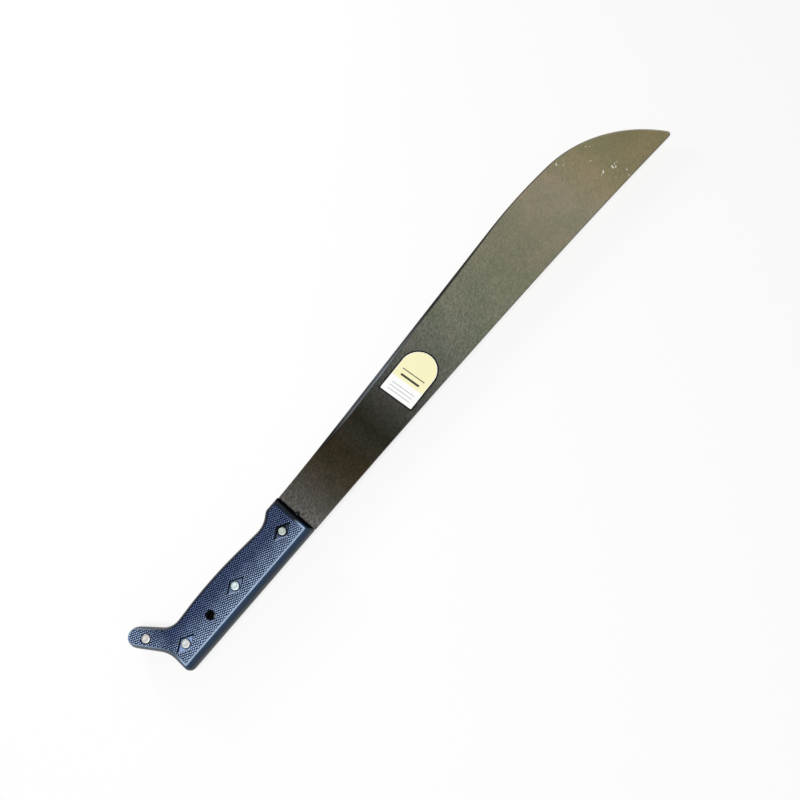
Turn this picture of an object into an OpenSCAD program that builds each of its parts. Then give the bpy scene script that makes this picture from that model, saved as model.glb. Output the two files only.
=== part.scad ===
// Machete with a riveted two-piece handle. The blade lies flat in the XY
// plane with its mid-plane at Z = 0. +X points from the handle to the tip,
// +Y towards the cutting edge. The origin is on the axis of the lanyard hole.

/* [Blade] */
// Length from the handle's front face to the start of the belly
blade_run = 290; // [250:1:310]
// Thickness of the blade and tang
blade_t = 2; // [1.6:0.1:3]
// Height of the blade where it leaves the handle
heel_h = 40.85; // [39:0.05:41]
// Radius of the slow sweep of the edge next to the handle
heel_r = 2000; // [1500:100:4000]
// Heading of the edge at the heel, in degrees away from the back
heel_heading = 1.7; // [1:0.1:3]
// Angle that the slow sweep adds to that heading
heel_turn = 1.75; // [1:0.05:2.5]
// Radius of the shallow part of the belly
belly_r = 520; // [450:10:700]
// Angle turned by the shallow part of the belly
belly_turn = 8.75; // [8:0.05:9.6]
// Radius of the full part of the belly
nose_r = 106; // [102:1:108]
// Angle turned by the full part of the belly
nose_turn = 58; // [55:0.5:59]
// Radius of the rounded point
point_r = 3; // [2:0.1:4]
// Radius of the back's slow bow
back_r = 13500; // [11000:500:20000]
// Distance from the handle at which the back bows more
back_bend = 280; // [200:10:320]
// Radius of that second bow
nose_back_r = 7500; // [6500:500:12000]

/* [Ground edge] */
// Length next to the handle that is left unground
unground = 48; // [30:1:60]
// Width of the ground bevel where it is widest
bevel_w = 4.4; // [3:0.1:6]
// Width of the ground bevel round the belly
nose_bevel_w = 2.2; // [1.2:0.1:2.4]
// Depth of the bevel on each face at the edge
bevel_d = 0.75; // [0.4:0.05:0.75]

/* [Handle] */
// Distance from the lanyard hole to the handle's front face
hole_to_front = 101.8; // [96:0.1:110]
// Distance from the lanyard hole to the back of the handle
hole_to_back = 15.45; // [14.5:0.05:17]
// Length of the handle along its back
handle_len = 145.3; // [142:0.1:149]
// Height of the handle's front face
front_h = 40.3; // [40:0.1:42]
// Step from the handle's back down to the blade's back
back_step = 0.6; // [0:0.1:1]
// Thickness of one scale
scale_t = 11; // [9:0.5:13]
// Width of the rolled side of a scale, seen from above
roll_w = 4.6; // [4:0.1:5.2]
// Radius of the shoulder between the rolled side and the panel
shoulder_r = 1.8; // [1:0.1:2.5]
// Width of the smooth rim round the chequered panel
rim_w = 0.3; // [0.2:0.1:1]
// Depth of the chequered panel below its rim
panel_d = 0.35; // [0.2:0.05:0.6]
// Radius of the lanyard hole
lanyard_r = 3.65; // [2.5:0.05:4]
// Margin of plastic round the tang, where the two scales meet
tang_margin = 4; // [3.5:0.5:5]

/* [Rivets] */
// Radius of a rivet's shank
shank_r = 2.25; // [1.75:0.05:2.5]
// Radius of a rivet's head
head_r = 3.5; // [3.2:0.05:3.8]
// Height of a rivet's head at its crown
head_h = 1.3; // [1:0.05:1.4]
// Depth of the recess that a rivet's head sits in
recess_d = 1.5; // [1.4:0.05:2]
// Length of a diamond recess along the handle
diamond_l = 20; // [18:0.5:21]
// Width of a diamond recess across the handle
diamond_w = 12.4; // [12:0.1:14]
// Thickness of the washer under a rivet's peened end
washer_t = 0.7; // [0.5:0.05:0.8]
// Outer radius of that washer
washer_r = 3.9; // [3.5:0.05:4]

/* [Label] */
// Width of the label across the blade
label_w = 35.2; // [28:0.2:35.2]
// Length of the label's straight sides
label_l = 34.25; // [26:0.25:36]
// Radius of the label's round end
label_r = 17.7; // [17.7:0.1:20]
// Height of the label's round end
label_rise = 14.5; // [10:0.05:16]
// Angle of the label to the handle's axis
label_turn = 2.4; // [0:0.1:4]
// Thickness of the label
label_t = 0.12; // [0.08:0.01:0.2]

/* [Hidden] */
RIVETS = ["front", "middle", "rear", "beak"];

$fn = 64;
front_x = hole_to_front;
back_y = -hole_to_back;
fit_gap = 0.05;
tang_gap = 0.15;
cut = 1;

// Where each rivet stands, from the lanyard hole
rivet_at = [[84.1, 0.8], [28.7, 0.5], [-28.3, 0], [-46.7, 27.1]];
// The last rivet stands in a round recess, and the others in diamonds
round_recess = 3;
round_recess_r = 4.3;
// Gate nib that stands out of each scale's front face, against the blade
nib_r = 1.6;
nib_y = 3.4;
nib_top = 4.5;

// Corners of the handle's outline, from the front corner on the back: x, y,
// radius, steps in the arc, points on the straight that follows, and that
// side's share of the rolled width. The first six run from the front along
// the finger side to the beak's end, and the rest return along the butt and
// the back.
handle_corners = [
    [0, front_h, 1, 3, 1, 1],
    [-15, front_h, 8, 4, 0, 1],
    [-25, 33.3, 19, 6, 0, 1],
    [-85, 37.9, 370, 12, 0, 1],
    [-129.6, 34.3, 15, 6, 2, 0.68],
    [-148.9, 58.8, 8.3, 4, 0, 0.68],
    [-167.6, 57.2, 8.3, 8, 3, 0.68],
    [-handle_len, 22.8, 25, 6, 0, 1.1],
    [-handle_len, 0, 4.4, 5, 15, 1],
    [0, 0, 1, 3, 0, 1.2]];
crisp_r = 0.6;

// Plane geometry

function rotated(v, a) = [v.x * cos(a) - v.y * sin(a), v.x * sin(a) + v.y * cos(a)];
function unit(v) = v / norm(v);
function place(c) = [c.x + front_x, c.y + back_y];
function inward(u) = [-u.y, u.x];

// One corner of an outline that runs anticlockwise, with each side moved
// inwards by its share of inset, and the corner rounded. An outer corner's
// radius shrinks with the inset and an inner corner's grows, so that the
// moved outline stays parallel to the first.
function corner_arc(corners, i, inset) =
    let (
        n = len(corners),
        before = corners[(i + n - 1) % n],
        here = place(corners[i]),
        u = unit(here - place(before)),
        v = unit(place(corners[(i + 1) % n]) - here),
        bend = u.x * v.y - u.y * v.x,
        side = sign(bend),
        turn = acos(u * v),
        a = inset * before[5],
        b = inset * corners[i][5],
        moved = here + (a * v - b * u) / bend,
        r = max(corners[i][2] - side * (a + b) / 2, crisp_r),
        centre = moved - u * r * tan(turn / 2) + side * r * inward(u),
        steps = corners[i][3])
    [for (k = [0 : steps]) centre - side * r * rotated(inward(u), side * turn * k / steps)];

// A whole outline moved inwards by inset
function outline(corners, inset) =
    let (n = len(corners), arcs = [for (i = [0 : n - 1]) corner_arc(corners, i, inset)])
    [for (i = [0 : n - 1]) each concat(
        arcs[i],
        let (from = arcs[i][corners[i][3]], to = arcs[(i + 1) % n][0], m = corners[i][4])
        [for (k = [1 : 1 : m]) from + (to - from) * k / (m + 1)])];

// A chain of tangent stretches, each [radius, turn, steps], or [0, length,
// steps] for a straight. A positive turn is to the right. Each point is given
// as [x, y, heading].
function along(start, row, part) =
    row[0] == 0 ?
        [start.x + row[1] * part * cos(start.z), start.y + row[1] * part * sin(start.z), start.z] :
    let (
        r = row[0] * sign(row[1]),
        heading = start.z - row[1] * part,
        centre = [start.x + r * sin(start.z), start.y - r * cos(start.z)])
    [centre.x - r * sin(heading), centre.y + r * cos(heading), heading];
function chain(start, rows, i = 0) =
    i == len(rows) ? [start] :
    let (row = rows[i])
    concat(
        [for (k = [0 : row[2] - 1]) along(start, row, k / row[2])],
        chain(along(start, row, 1), rows, i + 1));

// Solid from a stack of outlines with equal numbers of points, lowest first.
// Every outline runs anticlockwise. Its first half and its second half face
// each other across the form, and the two ends are closed between them.
module stack(levels) {
    n = len(levels[0]);
    half = n / 2;
    top = (len(levels) - 1) * n;
    sides = [
        for (k = [0 : len(levels) - 2], i = [0 : n - 1])
            let (a = k * n + i, b = k * n + (i + 1) % n)
            each [[a, a + n, b + n], [a, b + n, b]]];
    ends = [
        for (i = [0 : half - 2])
            let (j = n - 1 - i)
            each [
                [i, i + 1, j - 1], [i, j - 1, j],
                [top + j, top + j - 1, top + i + 1], [top + j, top + i + 1, top + i]]];
    polyhedron(points = [for (level = levels) each level], faces = concat(sides, ends));
}

// Blade

// The back, by distance from the handle
blade_back_y = back_y - back_step;
function back_curve(x) =
    blade_back_y - x * x / (2 * back_r) - pow(max(0, x - back_bend), 2) / (2 * nose_back_r);

// The cutting edge from the heel to the end of the belly, as [x, y, heading]
belly = chain([front_x, blade_back_y + heel_h, heel_heading], [
    [heel_r, -heel_turn, 6],
    [0, blade_run - heel_r * heel_turn * PI / 180, 23],
    [belly_r, belly_turn, 10],
    [nose_r, nose_turn, 36]]);
belly_end = belly[len(belly) - 1];

// A short straight and the rounded point bring the edge round to the back
point_turn = 182 + belly_end.z;
point_heading = belly_end.z - point_turn;
point_run = (back_curve(belly_end.x - front_x) - belly_end.y
    + point_r * (cos(belly_end.z) - cos(point_heading))) / sin(belly_end.z);
edge = concat(
    [for (i = [0 : len(belly) - 2]) belly[i]],
    chain(belly_end, [[0, point_run, 1], [point_r, point_turn, 8]]));
stations = len(edge);
point = edge[stations - 1];
point_flat = 0.6;
back_run = point.x - point_flat - front_x;

// Width and depth of the ground bevel, by distance from the handle. The
// unground part has only its sheared corner broken.
function bevel_width(x) = lookup(x, [
    [0, 0.2], [unground, 0.2], [unground + 45, 0.8 * bevel_w], [unground + 80, bevel_w],
    [unground + 106, bevel_w], [unground + 138, nose_bevel_w]]);
function bevel_depth(x) = lookup(x, [[unground, 0.15], [unground + 40, bevel_d]]);

// The levels of the blade: the back and, facing it, either the line where the
// bevel starts or the edge itself
function back_level(z) = [
    for (i = [0 : stations - 1])
        let (x = back_run * i / (stations - 1))
        [front_x + x, back_curve(x), z]];
function face_level(z) = concat(
    back_level(z),
    [for (i = [stations - 1 : -1 : 0])
        let (p = edge[i], w = bevel_width(p.x - front_x))
        [p.x + w * sin(p.z), p.y - w * cos(p.z), z]]);
function edge_level(up) = concat(
    back_level(up * (blade_t / 2 - bevel_d)),
    [for (i = [stations - 1 : -1 : 0])
        let (p = edge[i])
        [p.x, p.y, up * (blade_t / 2 - bevel_depth(p.x - front_x))]]);

module tang_profile(gap) {
    neck = 12;
    polygon(outline(handle_corners, tang_margin - gap));
    translate([front_x - neck, back_y + tang_margin - gap])
        square([neck + tang_margin, front_h - 2 * tang_margin + 2 * gap]);
}

module rivet_holes() {
    for (at = rivet_at)
        translate([at.x, at.y, -scale_t - cut])
            cylinder(r = shank_r + fit_gap, h = 2 * (scale_t + cut));
}

module lanyard_hole() {
    translate([0, 0, -scale_t - cut])
        cylinder(r = lanyard_r, h = 2 * (scale_t + cut));
}

module blade() {
    color("#6f6c60")
        difference() {
            union() {
                stack([
                    face_level(-blade_t / 2), edge_level(-1),
                    edge_level(1), face_level(blade_t / 2)]);
                translate([0, 0, -blade_t / 2])
                    linear_extrude(blade_t) tang_profile(0);
            }
            rivet_holes();
            lanyard_hole();
        }
}

// Handle

// The side of a scale is an arc that starts square to the parting plane and
// turns over the tighter shoulder into the flat top. Each step is [inset, z].
side_r = shoulder_r + (pow(scale_t - shoulder_r, 2) + pow(roll_w - shoulder_r, 2))
    / (2 * (roll_w - shoulder_r));
side_turn = asin((scale_t - shoulder_r) / (side_r - shoulder_r));
side_steps = 4;
shoulder_steps = 4;
shoulder_at = [
    side_r - (side_r - shoulder_r) * cos(side_turn), (side_r - shoulder_r) * sin(side_turn)];
function shoulder(k) =
    let (a = side_turn + (90 - side_turn) * k / shoulder_steps)
    [shoulder_at.x - shoulder_r * cos(a), shoulder_at.y + shoulder_r * sin(a)];
// The last facet runs on above the flat top, where it is trimmed level
overrun = 3;
last = shoulder(shoulder_steps - 1);
roll = concat(
    [for (k = [0 : side_steps])
        let (a = side_turn * k / side_steps)
        [side_r * (1 - cos(a)), side_r * sin(a)]],
    [for (k = [1 : shoulder_steps - 1]) shoulder(k)],
    [last + overrun * (shoulder(shoulder_steps) - last)]);

module diamond(share) {
    l = share * diamond_l / 2;
    w = share * diamond_w / 2;
    polygon([[l, 0], [0, w], [-l, 0], [0, -w]]);
}

// Recess with sloping walls for a rivet's head, down from the panel
module diamond_recess() {
    floor_share = 0.8;
    slab = 0.01;
    hull() {
        translate([0, 0, -recess_d])
            linear_extrude(slab) diamond(floor_share);
        translate([0, 0, recess_d])
            linear_extrude(slab) diamond(2 - floor_share);
    }
}

module rivet_recesses() {
    for (i = [0 : len(RIVETS) - 1])
        translate([rivet_at[i].x, rivet_at[i].y, scale_t])
            if (i == round_recess)
                translate([0, 0, -recess_d]) cylinder(r = round_recess_r, h = recess_d + cut);
            else
                diamond_recess();
}

// One scale, with its outer face up
module scale_body() {
    difference() {
        union() {
            stack([
                for (step = roll)
                    [for (p = outline(handle_corners, step[0])) [p.x, p.y, step[1]]]]);
            translate([front_x, nib_y, blade_t / 2])
                cylinder(r = nib_r, h = nib_top - blade_t / 2);
        }
        translate([front_x - 2 * handle_len, back_y - handle_len, scale_t])
            cube([4 * handle_len, 4 * handle_len, cut]);
        translate([0, 0, scale_t - panel_d])
            linear_extrude(panel_d + cut) polygon(outline(handle_corners, roll_w + rim_w));
        translate([0, 0, -cut])
            linear_extrude(cut + blade_t / 2) tang_profile(tang_gap);
        rivet_recesses();
        rivet_holes();
        lanyard_hole();
    }
}

module front_scale() {
    color("#2c3e66") scale_body();
}

module rear_scale() {
    color("#2c3e66") mirror([0, 0, 1]) scale_body();
}

// Rivets

seat_z = scale_t - recess_d;
head_rim = 0.55;
peen_r = 3.1;
peen_rim = 0.2;
peen_h = 0.65;
dimple_r = 1.7;
dimple_d = 0.2;

// Low crown that stands on Z = 0, with a straight rim and an oval top
module crown(r, rim, h, steps) {
    rotate_extrude()
        polygon(concat(
            [[0, 0], [r, 0]],
            [for (k = [0 : steps])
                let (a = 90 * k / steps)
                [r * cos(a), rim + (h - rim) * sin(a)]]));
}

module rivet(i) {
    peen_z = seat_z + washer_t;
    color("#d5ddd6")
        translate(rivet_at[i])
            difference() {
                union() {
                    translate([0, 0, -peen_z])
                        cylinder(r = shank_r, h = peen_z + seat_z + head_rim);
                    translate([0, 0, seat_z])
                        crown(head_r, head_rim, head_h, 6);
                    translate([0, 0, -peen_z])
                        rotate([180, 0, 0]) crown(peen_r, peen_rim, peen_h, 5);
                }
                translate([0, 0, seat_z + head_h - dimple_d])
                    cylinder(r1 = 0.6 * dimple_r, r2 = dimple_r, h = 2 * dimple_d);
            }
}

module washer(i) {
    color("#c6cbc4")
        translate([rivet_at[i].x, rivet_at[i].y, -seat_z - washer_t])
            difference() {
                cylinder(r = washer_r, h = washer_t);
                translate([0, 0, -cut]) cylinder(r = shank_r + fit_gap, h = washer_t + 2 * cut);
            }
}

// Label

// Middle of the line where the label's straight sides end
label_at = [156.1, 22.76];

module label() {
    color("#f3ecb8")
        translate([front_x + label_at.x, blade_back_y + label_at.y, blade_t / 2])
            rotate([0, 0, label_turn])
                linear_extrude(label_t)
                    intersection() {
                        translate([-label_l, -label_w / 2])
                            square([label_l + label_rise, label_w]);
                        union() {
                            translate([label_rise - label_r, 0]) circle(r = label_r);
                            translate([-label_l, -label_w / 2]) square([label_l, label_w]);
                        }
                    }
}

blade();
front_scale();
rear_scale();
label();
for (i = [0 : len(RIVETS) - 1]) {
    rivet(i);
    washer(i);
}
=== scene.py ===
"""Dresses the machete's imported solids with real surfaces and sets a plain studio.

Every length in the classes is in millimetres in the model's own frame: +X
from the handle to the tip, +Y towards the cutting edge, and +Z out of the
side that carries the label. The origin is on the lanyard hole's axis.
"""

import logging
import math
from collections.abc import Callable, Mapping, Sequence
from dataclasses import dataclass, field, replace
from enum import Enum, IntEnum

import bpy
from mathutils import Matrix, Vector
from mathutils.geometry import tessellate_polygon


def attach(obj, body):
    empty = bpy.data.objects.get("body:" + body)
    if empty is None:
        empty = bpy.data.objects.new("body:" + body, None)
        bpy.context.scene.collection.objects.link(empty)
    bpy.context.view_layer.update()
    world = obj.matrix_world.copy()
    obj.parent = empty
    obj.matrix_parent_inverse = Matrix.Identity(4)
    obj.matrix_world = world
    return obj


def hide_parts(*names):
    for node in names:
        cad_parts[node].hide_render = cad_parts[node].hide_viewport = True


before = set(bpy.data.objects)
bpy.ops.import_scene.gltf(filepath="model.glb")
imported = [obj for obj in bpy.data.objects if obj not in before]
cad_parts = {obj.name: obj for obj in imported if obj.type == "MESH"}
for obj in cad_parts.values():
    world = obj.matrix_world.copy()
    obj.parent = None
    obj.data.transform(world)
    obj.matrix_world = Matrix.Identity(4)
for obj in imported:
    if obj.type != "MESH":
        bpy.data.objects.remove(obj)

logger = logging.getLogger("machete")

MM = 0.001
# The radius of the face that closes a turned profile on its axis.
PIN_RADIUS = 0.01

Point = tuple[float, float]
Triple = tuple[float, float, float]
Loop = list[Point]
# Positions along a ramp, with the hex colour or the grey level of each.
Tints = tuple[tuple[float, str], ...]
Levels = tuple[Point, ...]
Socket = bpy.types.NodeSocket
# Socket name or number to a value, or to the socket that feeds it.
Inputs = dict[str | int, object]

# Settings of a Mix node that blends two colours, or that multiplies them.
BLEND = {"data_type": "RGBA"}
TIMES = {"data_type": "RGBA", "blend_type": "MULTIPLY"}


class Side(Enum):
    """The face of the blade that a piece lies on, as the sign of its Z."""

    FRONT = 1
    REAR = -1


class Slot(Enum):
    """The record's material slots."""

    BLADE = "blade_steel"
    HANDLE = "handle_plastic"
    LABEL = "label_film"
    RIVET = "rivet_aluminium"
    WASHER = "washer_aluminium"


class Steel(IntEnum):
    """The blade's finishes, in the order of its mesh's material slots."""

    LACQUERED = 0
    GROUND = 1
    SHEARED = 2
    SCRATCHED = 3
    # Painted shade: the lanyard bore's steel, painted near-black.
    PAINTED_SHADE = 4


class Plastic(IntEnum):
    """The handle's finishes, in the order of a scale's material slots."""

    SIDES = 0
    CHEQUERING = 1
    RECESS = 2
    # Painted shade, near-black in the lanyard bore and round each rivet's foot.
    PAINTED_SHADE = 3
    # Painted highlight: the recess wall that faces the light, painted pale.
    PAINTED_LIT_WALL = 4
    # Painted shade: the front face next to the blade, painted darker.
    FRONT_FACE = 5


class Print(IntEnum):
    """The label's finishes, in the order of its mesh's material slots."""

    FILM = 0
    INK = 1


# Shader helpers


def linear(code: str) -> tuple[float, float, float, float]:
    """Turns an sRGB hex colour to linear.

    Args:
        code: The colour as six hex digits after a number sign.

    Returns:
        Linear red, green and blue, with an alpha of 1.
    """
    channels = [int(code[i : i + 2], 16) / 255 for i in (1, 3, 5)]
    values = [c / 12.92 if c <= 0.04045 else ((c + 0.055) / 1.055) ** 2.4 for c in channels]
    return (values[0], values[1], values[2], 1.0)


def add_node(
    tree: bpy.types.NodeTree,
    kind: str,
    inputs: Inputs | None = None,
    stops: Tints | Levels = (),
    **settings: object,
) -> bpy.types.Node:
    """Adds one shader node with its settings, values and links.

    Args:
        tree: The node tree that takes it.
        kind: The node's type name.
        inputs: What its sockets take.
        stops: Position and hex colour or grey level of each stop of a ramp.
        **settings: Properties of the node.

    Returns:
        The new node.
    """
    node = tree.nodes.new(kind)
    for name, value in settings.items():
        setattr(node, name, value)
    for key, value in (inputs or {}).items():
        if isinstance(value, Socket):
            tree.links.new(value, node.inputs[key])
        else:
            node.inputs[key].default_value = value
    for i, (position, value) in enumerate(stops):
        elements = node.color_ramp.elements
        stop = elements[i] if i < 2 else elements.new(position)
        stop.position = position
        stop.color = linear(value) if isinstance(value, str) else (value, value, value, 1.0)
    return node


@dataclass(frozen=True)
class Pattern:
    """Soft noise of a real size that shades and dents a surface.

    size is the length of its blotches along X, Y and Z in millimetres, and
    detail how many finer layers they have. tones are what it multiplies a
    colour by at its low and its high end. strength and depth are those of its
    bump, with the depth in millimetres.
    """

    size: Triple
    detail: float = 3.0
    tones: Point = (1.0, 1.0)
    strength: float = 0.0
    depth: float = 0.02
    # Where nearly all of the noise lies.
    low: float = 0.3
    high: float = 0.7

    def noise(self, tree: bpy.types.NodeTree, place: Socket) -> Socket:
        """Adds the noise.

        Args:
            tree: The node tree.
            place: The coordinates, in metres.

        Returns:
            The noise.
        """
        factors = tuple(1 / (length * MM) for length in self.size)
        scaled = add_node(
            tree, "ShaderNodeVectorMath", {0: place, 1: factors}, operation="MULTIPLY"
        ).outputs[0]
        return add_node(
            tree, "ShaderNodeTexNoise", {"Vector": scaled, "Scale": 1.0, "Detail": self.detail}
        ).outputs[0]

    def spread(self, noise: Socket, ends: Point) -> Inputs:
        """Returns the inputs of a Map Range node that spreads the noise over two ends."""
        source = {"Value": noise, "From Min": self.low, "From Max": self.high}
        return source | {"To Min": ends[0], "To Max": ends[1]}

    def relief(self, noise: Socket) -> Inputs:
        """Returns the inputs of a Bump node that dents the surface with the noise."""
        return {"Height": noise, "Strength": self.strength, "Distance": self.depth * MM}

    def shade(
        self,
        tree: bpy.types.NodeTree,
        noise: Socket,
        colour: Socket | tuple[float, ...],
        share: Socket | float = 1.0,
    ) -> Socket:
        """Makes a colour darker and lighter with the noise.

        Args:
            tree: The node tree.
            noise: The noise.
            colour: The colour.
            share: How much of the shading is used.

        Returns:
            The shaded colour.
        """
        tone = add_node(tree, "ShaderNodeMapRange", self.spread(noise, self.tones)).outputs[0]
        return add_node(tree, "ShaderNodeMix", {0: share, 6: colour, 7: tone}, **TIMES).outputs[2]


# Finishes


@dataclass(frozen=True)
class Finish:
    """A real surface's finish, made as a material with a Principled shader."""

    name: str

    def inputs(self, tree: bpy.types.NodeTree) -> Inputs:
        """Adds the finish's nodes.

        Args:
            tree: The material's node tree.

        Returns:
            What each socket of the Principled shader takes.
        """
        raise NotImplementedError

    def surface(self, tree: bpy.types.NodeTree, shader: bpy.types.Node) -> Socket:
        """Returns what the material's output takes, here the shader itself."""
        return shader.outputs["BSDF"]

    def build(self) -> bpy.types.Material:
        """Makes the material.

        Returns:
            The finished material.
        """
        material = bpy.data.materials.new(self.name)
        material.use_nodes = True
        tree = material.node_tree
        tree.nodes.clear()
        shader = add_node(tree, "ShaderNodeBsdfPrincipled", self.inputs(tree))
        add_node(tree, "ShaderNodeOutputMaterial", {"Surface": self.surface(tree, shader)})
        return material


@dataclass(frozen=True)
class LacqueredSteel(Finish):
    """High-carbon steel sheet, belt-ground at a slant and dipped in clear lacquer.

    The grinding leaves short slanting streaks that break up the reflection.
    Its tints along the blade are partly lacquer and partly painted reflection: dark and brown
    near the handle, pale olive towards the tip.
    """

    name: str = "high_carbon_steel_ground_lacquered"
    streak_angle: float = 24.0
    streaks: Pattern = Pattern((4.5, 0.7, 4.5), tones=(0.95, 1.05), strength=0.2, depth=0.05)
    # Real grit lines are about 0.1 mm wide, drawn coarser so that they show.
    grit: Pattern = Pattern((2.8, 0.35, 0.35), detail=2.0, strength=0.12)
    clouds: Pattern = Pattern((26.0, 26.0, 26.0))
    cloud_tints: Tints = ((0.36, "#eaf0e7"), (0.64, "#fdf8f3"))
    # Fine mottling in the lacquer, strongest beside the handle.
    speckles: Pattern = Pattern((2.1, 1.4, 1.4), detail=2.0, tones=(0.48, 1.52))
    mottling: Levels = ((0.0, 0.95), (0.05, 0.55), (0.46, 0.55), (0.56, 0.35), (0.68, 0.16))
    roughness: Point = (0.32, 0.41)
    coat: float = 0.2
    coat_roughness: float = 0.3
    # Where the tints start, beside the handle, and how far they run. They are partly lacquer and
    # partly painted reflection.
    tint_from: float = 101.8
    tint_run: float = 460.0
    tints: Tints = (
        (0.0, "#6d6a6a"),
        (0.043, "#5d5954"),
        (0.076, "#4e483d"),
        (0.109, "#443c2c"),
        (0.139, "#403727"),
        (0.17, "#403d33"),
        (0.2, "#373327"),
        (0.239, "#50504c"),
        (0.278, "#6a6a66"),
        (0.326, "#868781"),
        (0.45, "#aeb29f"),
        (0.62, "#cdc9af"),
        (0.761, "#e9dec2"),
        (0.848, "#e7d9ae"),
        (0.935, "#d7cb9e"),
    )

    def inputs(self, tree: bpy.types.NodeTree) -> Inputs:
        """Adds the lacquer's tints and mottling and the grinding's streaks.

        Args:
            tree: The material's node tree.

        Returns:
            What each socket of the Principled shader takes.
        """
        place = add_node(tree, "ShaderNodeTexCoord").outputs["Object"]
        run = add_node(tree, "ShaderNodeSeparateXYZ", {0: place}).outputs["X"]
        start, end = self.tint_from * MM, (self.tint_from + self.tint_run) * MM
        ends = {"Value": run, "From Min": start, "From Max": end}
        share = add_node(tree, "ShaderNodeMapRange", ends).outputs[0]
        turn = {"Vector": place, "Rotation": (0.0, 0.0, -math.radians(self.streak_angle))}
        turned = add_node(tree, "ShaderNodeMapping", turn).outputs[0]
        streaks, clouds = self.streaks.noise(tree, turned), self.clouds.noise(tree, place)
        tint = add_node(tree, "ShaderNodeValToRGB", {0: share}, self.tints).outputs[0]
        haze = add_node(tree, "ShaderNodeValToRGB", {0: clouds}, self.cloud_tints).outputs[0]
        colour = add_node(tree, "ShaderNodeMix", {0: 1.0, 6: tint, 7: haze}, **TIMES).outputs[2]
        colour = self.streaks.shade(tree, streaks, colour)
        strength = add_node(tree, "ShaderNodeValToRGB", {0: share}, self.mottling).outputs[0]
        speckles = self.speckles.noise(tree, turned)
        colour = self.speckles.shade(tree, speckles, colour, strength)
        rough = add_node(
            tree, "ShaderNodeMapRange", self.streaks.spread(streaks, self.roughness)
        ).outputs[0]
        grit = self.grit.noise(tree, turned)
        lines = add_node(tree, "ShaderNodeBump", self.grit.relief(grit)).outputs[0]
        waves = self.streaks.relief(streaks) | {"Normal": lines}
        return {
            "Base Color": colour,
            "Metallic": 1.0,
            "Roughness": rough,
            "Coat Weight": self.coat,
            "Coat Roughness": self.coat_roughness,
            "Normal": add_node(tree, "ShaderNodeBump", waves).outputs[0],
        }


@dataclass(frozen=True)
class GroundSteel(Finish):
    """The cutting edge's bevel, ground across the blade and left bright.

    Its colour is a painted reflection, colder and darker than the lacquered face, in bands along
    the edge and across it, with painted shade as a dark step at its inner border. U is the run
    along the edge in metres, and V goes from 0 at the inner border to 1 at the edge.
    """

    name: str = "high_carbon_steel_edge_ground"
    run: float = 480.0
    # Grinding marks lie across the bevel, along V, and are as long as it is wide.
    # Real ones are about 0.2 mm apart, drawn coarser so that they show.
    marks: Pattern = Pattern((0.6, 2000.0, 1.0), tones=(0.92, 1.08), strength=0.06)
    roughness: float = 0.3
    # Colour along the edge, a painted reflection that turns darker and lighter along the run.
    along: Tints = (
        (0.0, "#66645f"),
        (0.06, "#615f5b"),
        (0.1, "#4b4a47"),
        (0.14, "#525251"),
        (0.19, "#8a8e93"),
        (0.225, "#81868b"),
        (0.28, "#a5aeb7"),
        (0.34, "#868a8c"),
        (0.39, "#575756"),
        (0.43, "#494949"),
        (0.5, "#52524e"),
        (0.58, "#5d5b55"),
        (0.665, "#79756a"),
        (0.76, "#757767"),
        (0.86, "#a8a292"),
        (0.95, "#beb6a4"),
    )
    # Levels across the bevel near the heel and near the nose, a painted reflection that is dark
    # at the inner border with a bright band beside it, and the shares of the run between which
    # the first give way to the second.
    heel_band: Levels = (
        (0.0, 0.22),
        (0.11, 0.26),
        (0.21, 0.75),
        (0.32, 1.15),
        (0.41, 1.0),
        (0.53, 0.57),
        (0.8, 0.52),
        (1.0, 0.7),
    )
    nose_band: Levels = ((0.0, 0.98), (0.1, 0.94), (0.35, 0.68), (0.8, 0.62), (1.0, 0.8))
    nose_from: float = 0.31
    nose_to: float = 0.38

    def inputs(self, tree: bpy.types.NodeTree) -> Inputs:
        """Adds the tints along the edge, the bands across it and the marks.

        Args:
            tree: The material's node tree.

        Returns:
            What each socket of the Principled shader takes.
        """
        uv = add_node(tree, "ShaderNodeUVMap").outputs[0]
        parts = add_node(tree, "ShaderNodeSeparateXYZ", {0: uv})
        ends = {"Value": parts.outputs["X"], "From Max": self.run * MM}
        share = add_node(tree, "ShaderNodeMapRange", ends).outputs[0]
        tint = add_node(tree, "ShaderNodeValToRGB", {0: share}, self.along).outputs[0]
        heel, nose = (
            add_node(tree, "ShaderNodeValToRGB", {0: parts.outputs["Y"]}, band).outputs[0]
            for band in (self.heel_band, self.nose_band)
        )
        ends = {"Value": share, "From Min": self.nose_from, "From Max": self.nose_to}
        past = add_node(tree, "ShaderNodeMapRange", ends).outputs[0]
        band = add_node(tree, "ShaderNodeMix", {0: past, 6: heel, 7: nose}, **BLEND).outputs[2]
        colour = add_node(tree, "ShaderNodeMix", {0: 1.0, 6: tint, 7: band}, **TIMES).outputs[2]
        marks = self.marks.noise(tree, uv)
        return {
            "Base Color": self.marks.shade(tree, marks, colour),
            "Metallic": 1.0,
            "Roughness": self.roughness,
            "Normal": add_node(tree, "ShaderNodeBump", self.marks.relief(marks)).outputs[0],
        }


@dataclass(frozen=True)
class SteelTrim(Finish):
    """Narrow high-carbon steel without lacquer.

    A sheared edge is dull and torn, a fresh scratch bright, and a bore painted near-black as
    shade. The grain breaks each of them up.
    """

    colour: str
    grain: float
    roughness: float
    metallic: float = 1.0
    tones: Point = (0.75, 1.1)

    def inputs(self, tree: bpy.types.NodeTree) -> Inputs:
        """Adds the grain.

        Args:
            tree: The material's node tree.

        Returns:
            What each socket of the Principled shader takes.
        """
        place = add_node(tree, "ShaderNodeTexCoord").outputs["Object"]
        grain = Pattern((self.grain,) * 3, tones=self.tones)
        return {
            "Base Color": grain.shade(tree, grain.noise(tree, place), linear(self.colour)),
            "Metallic": self.metallic,
            "Roughness": self.roughness,
        }


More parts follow.
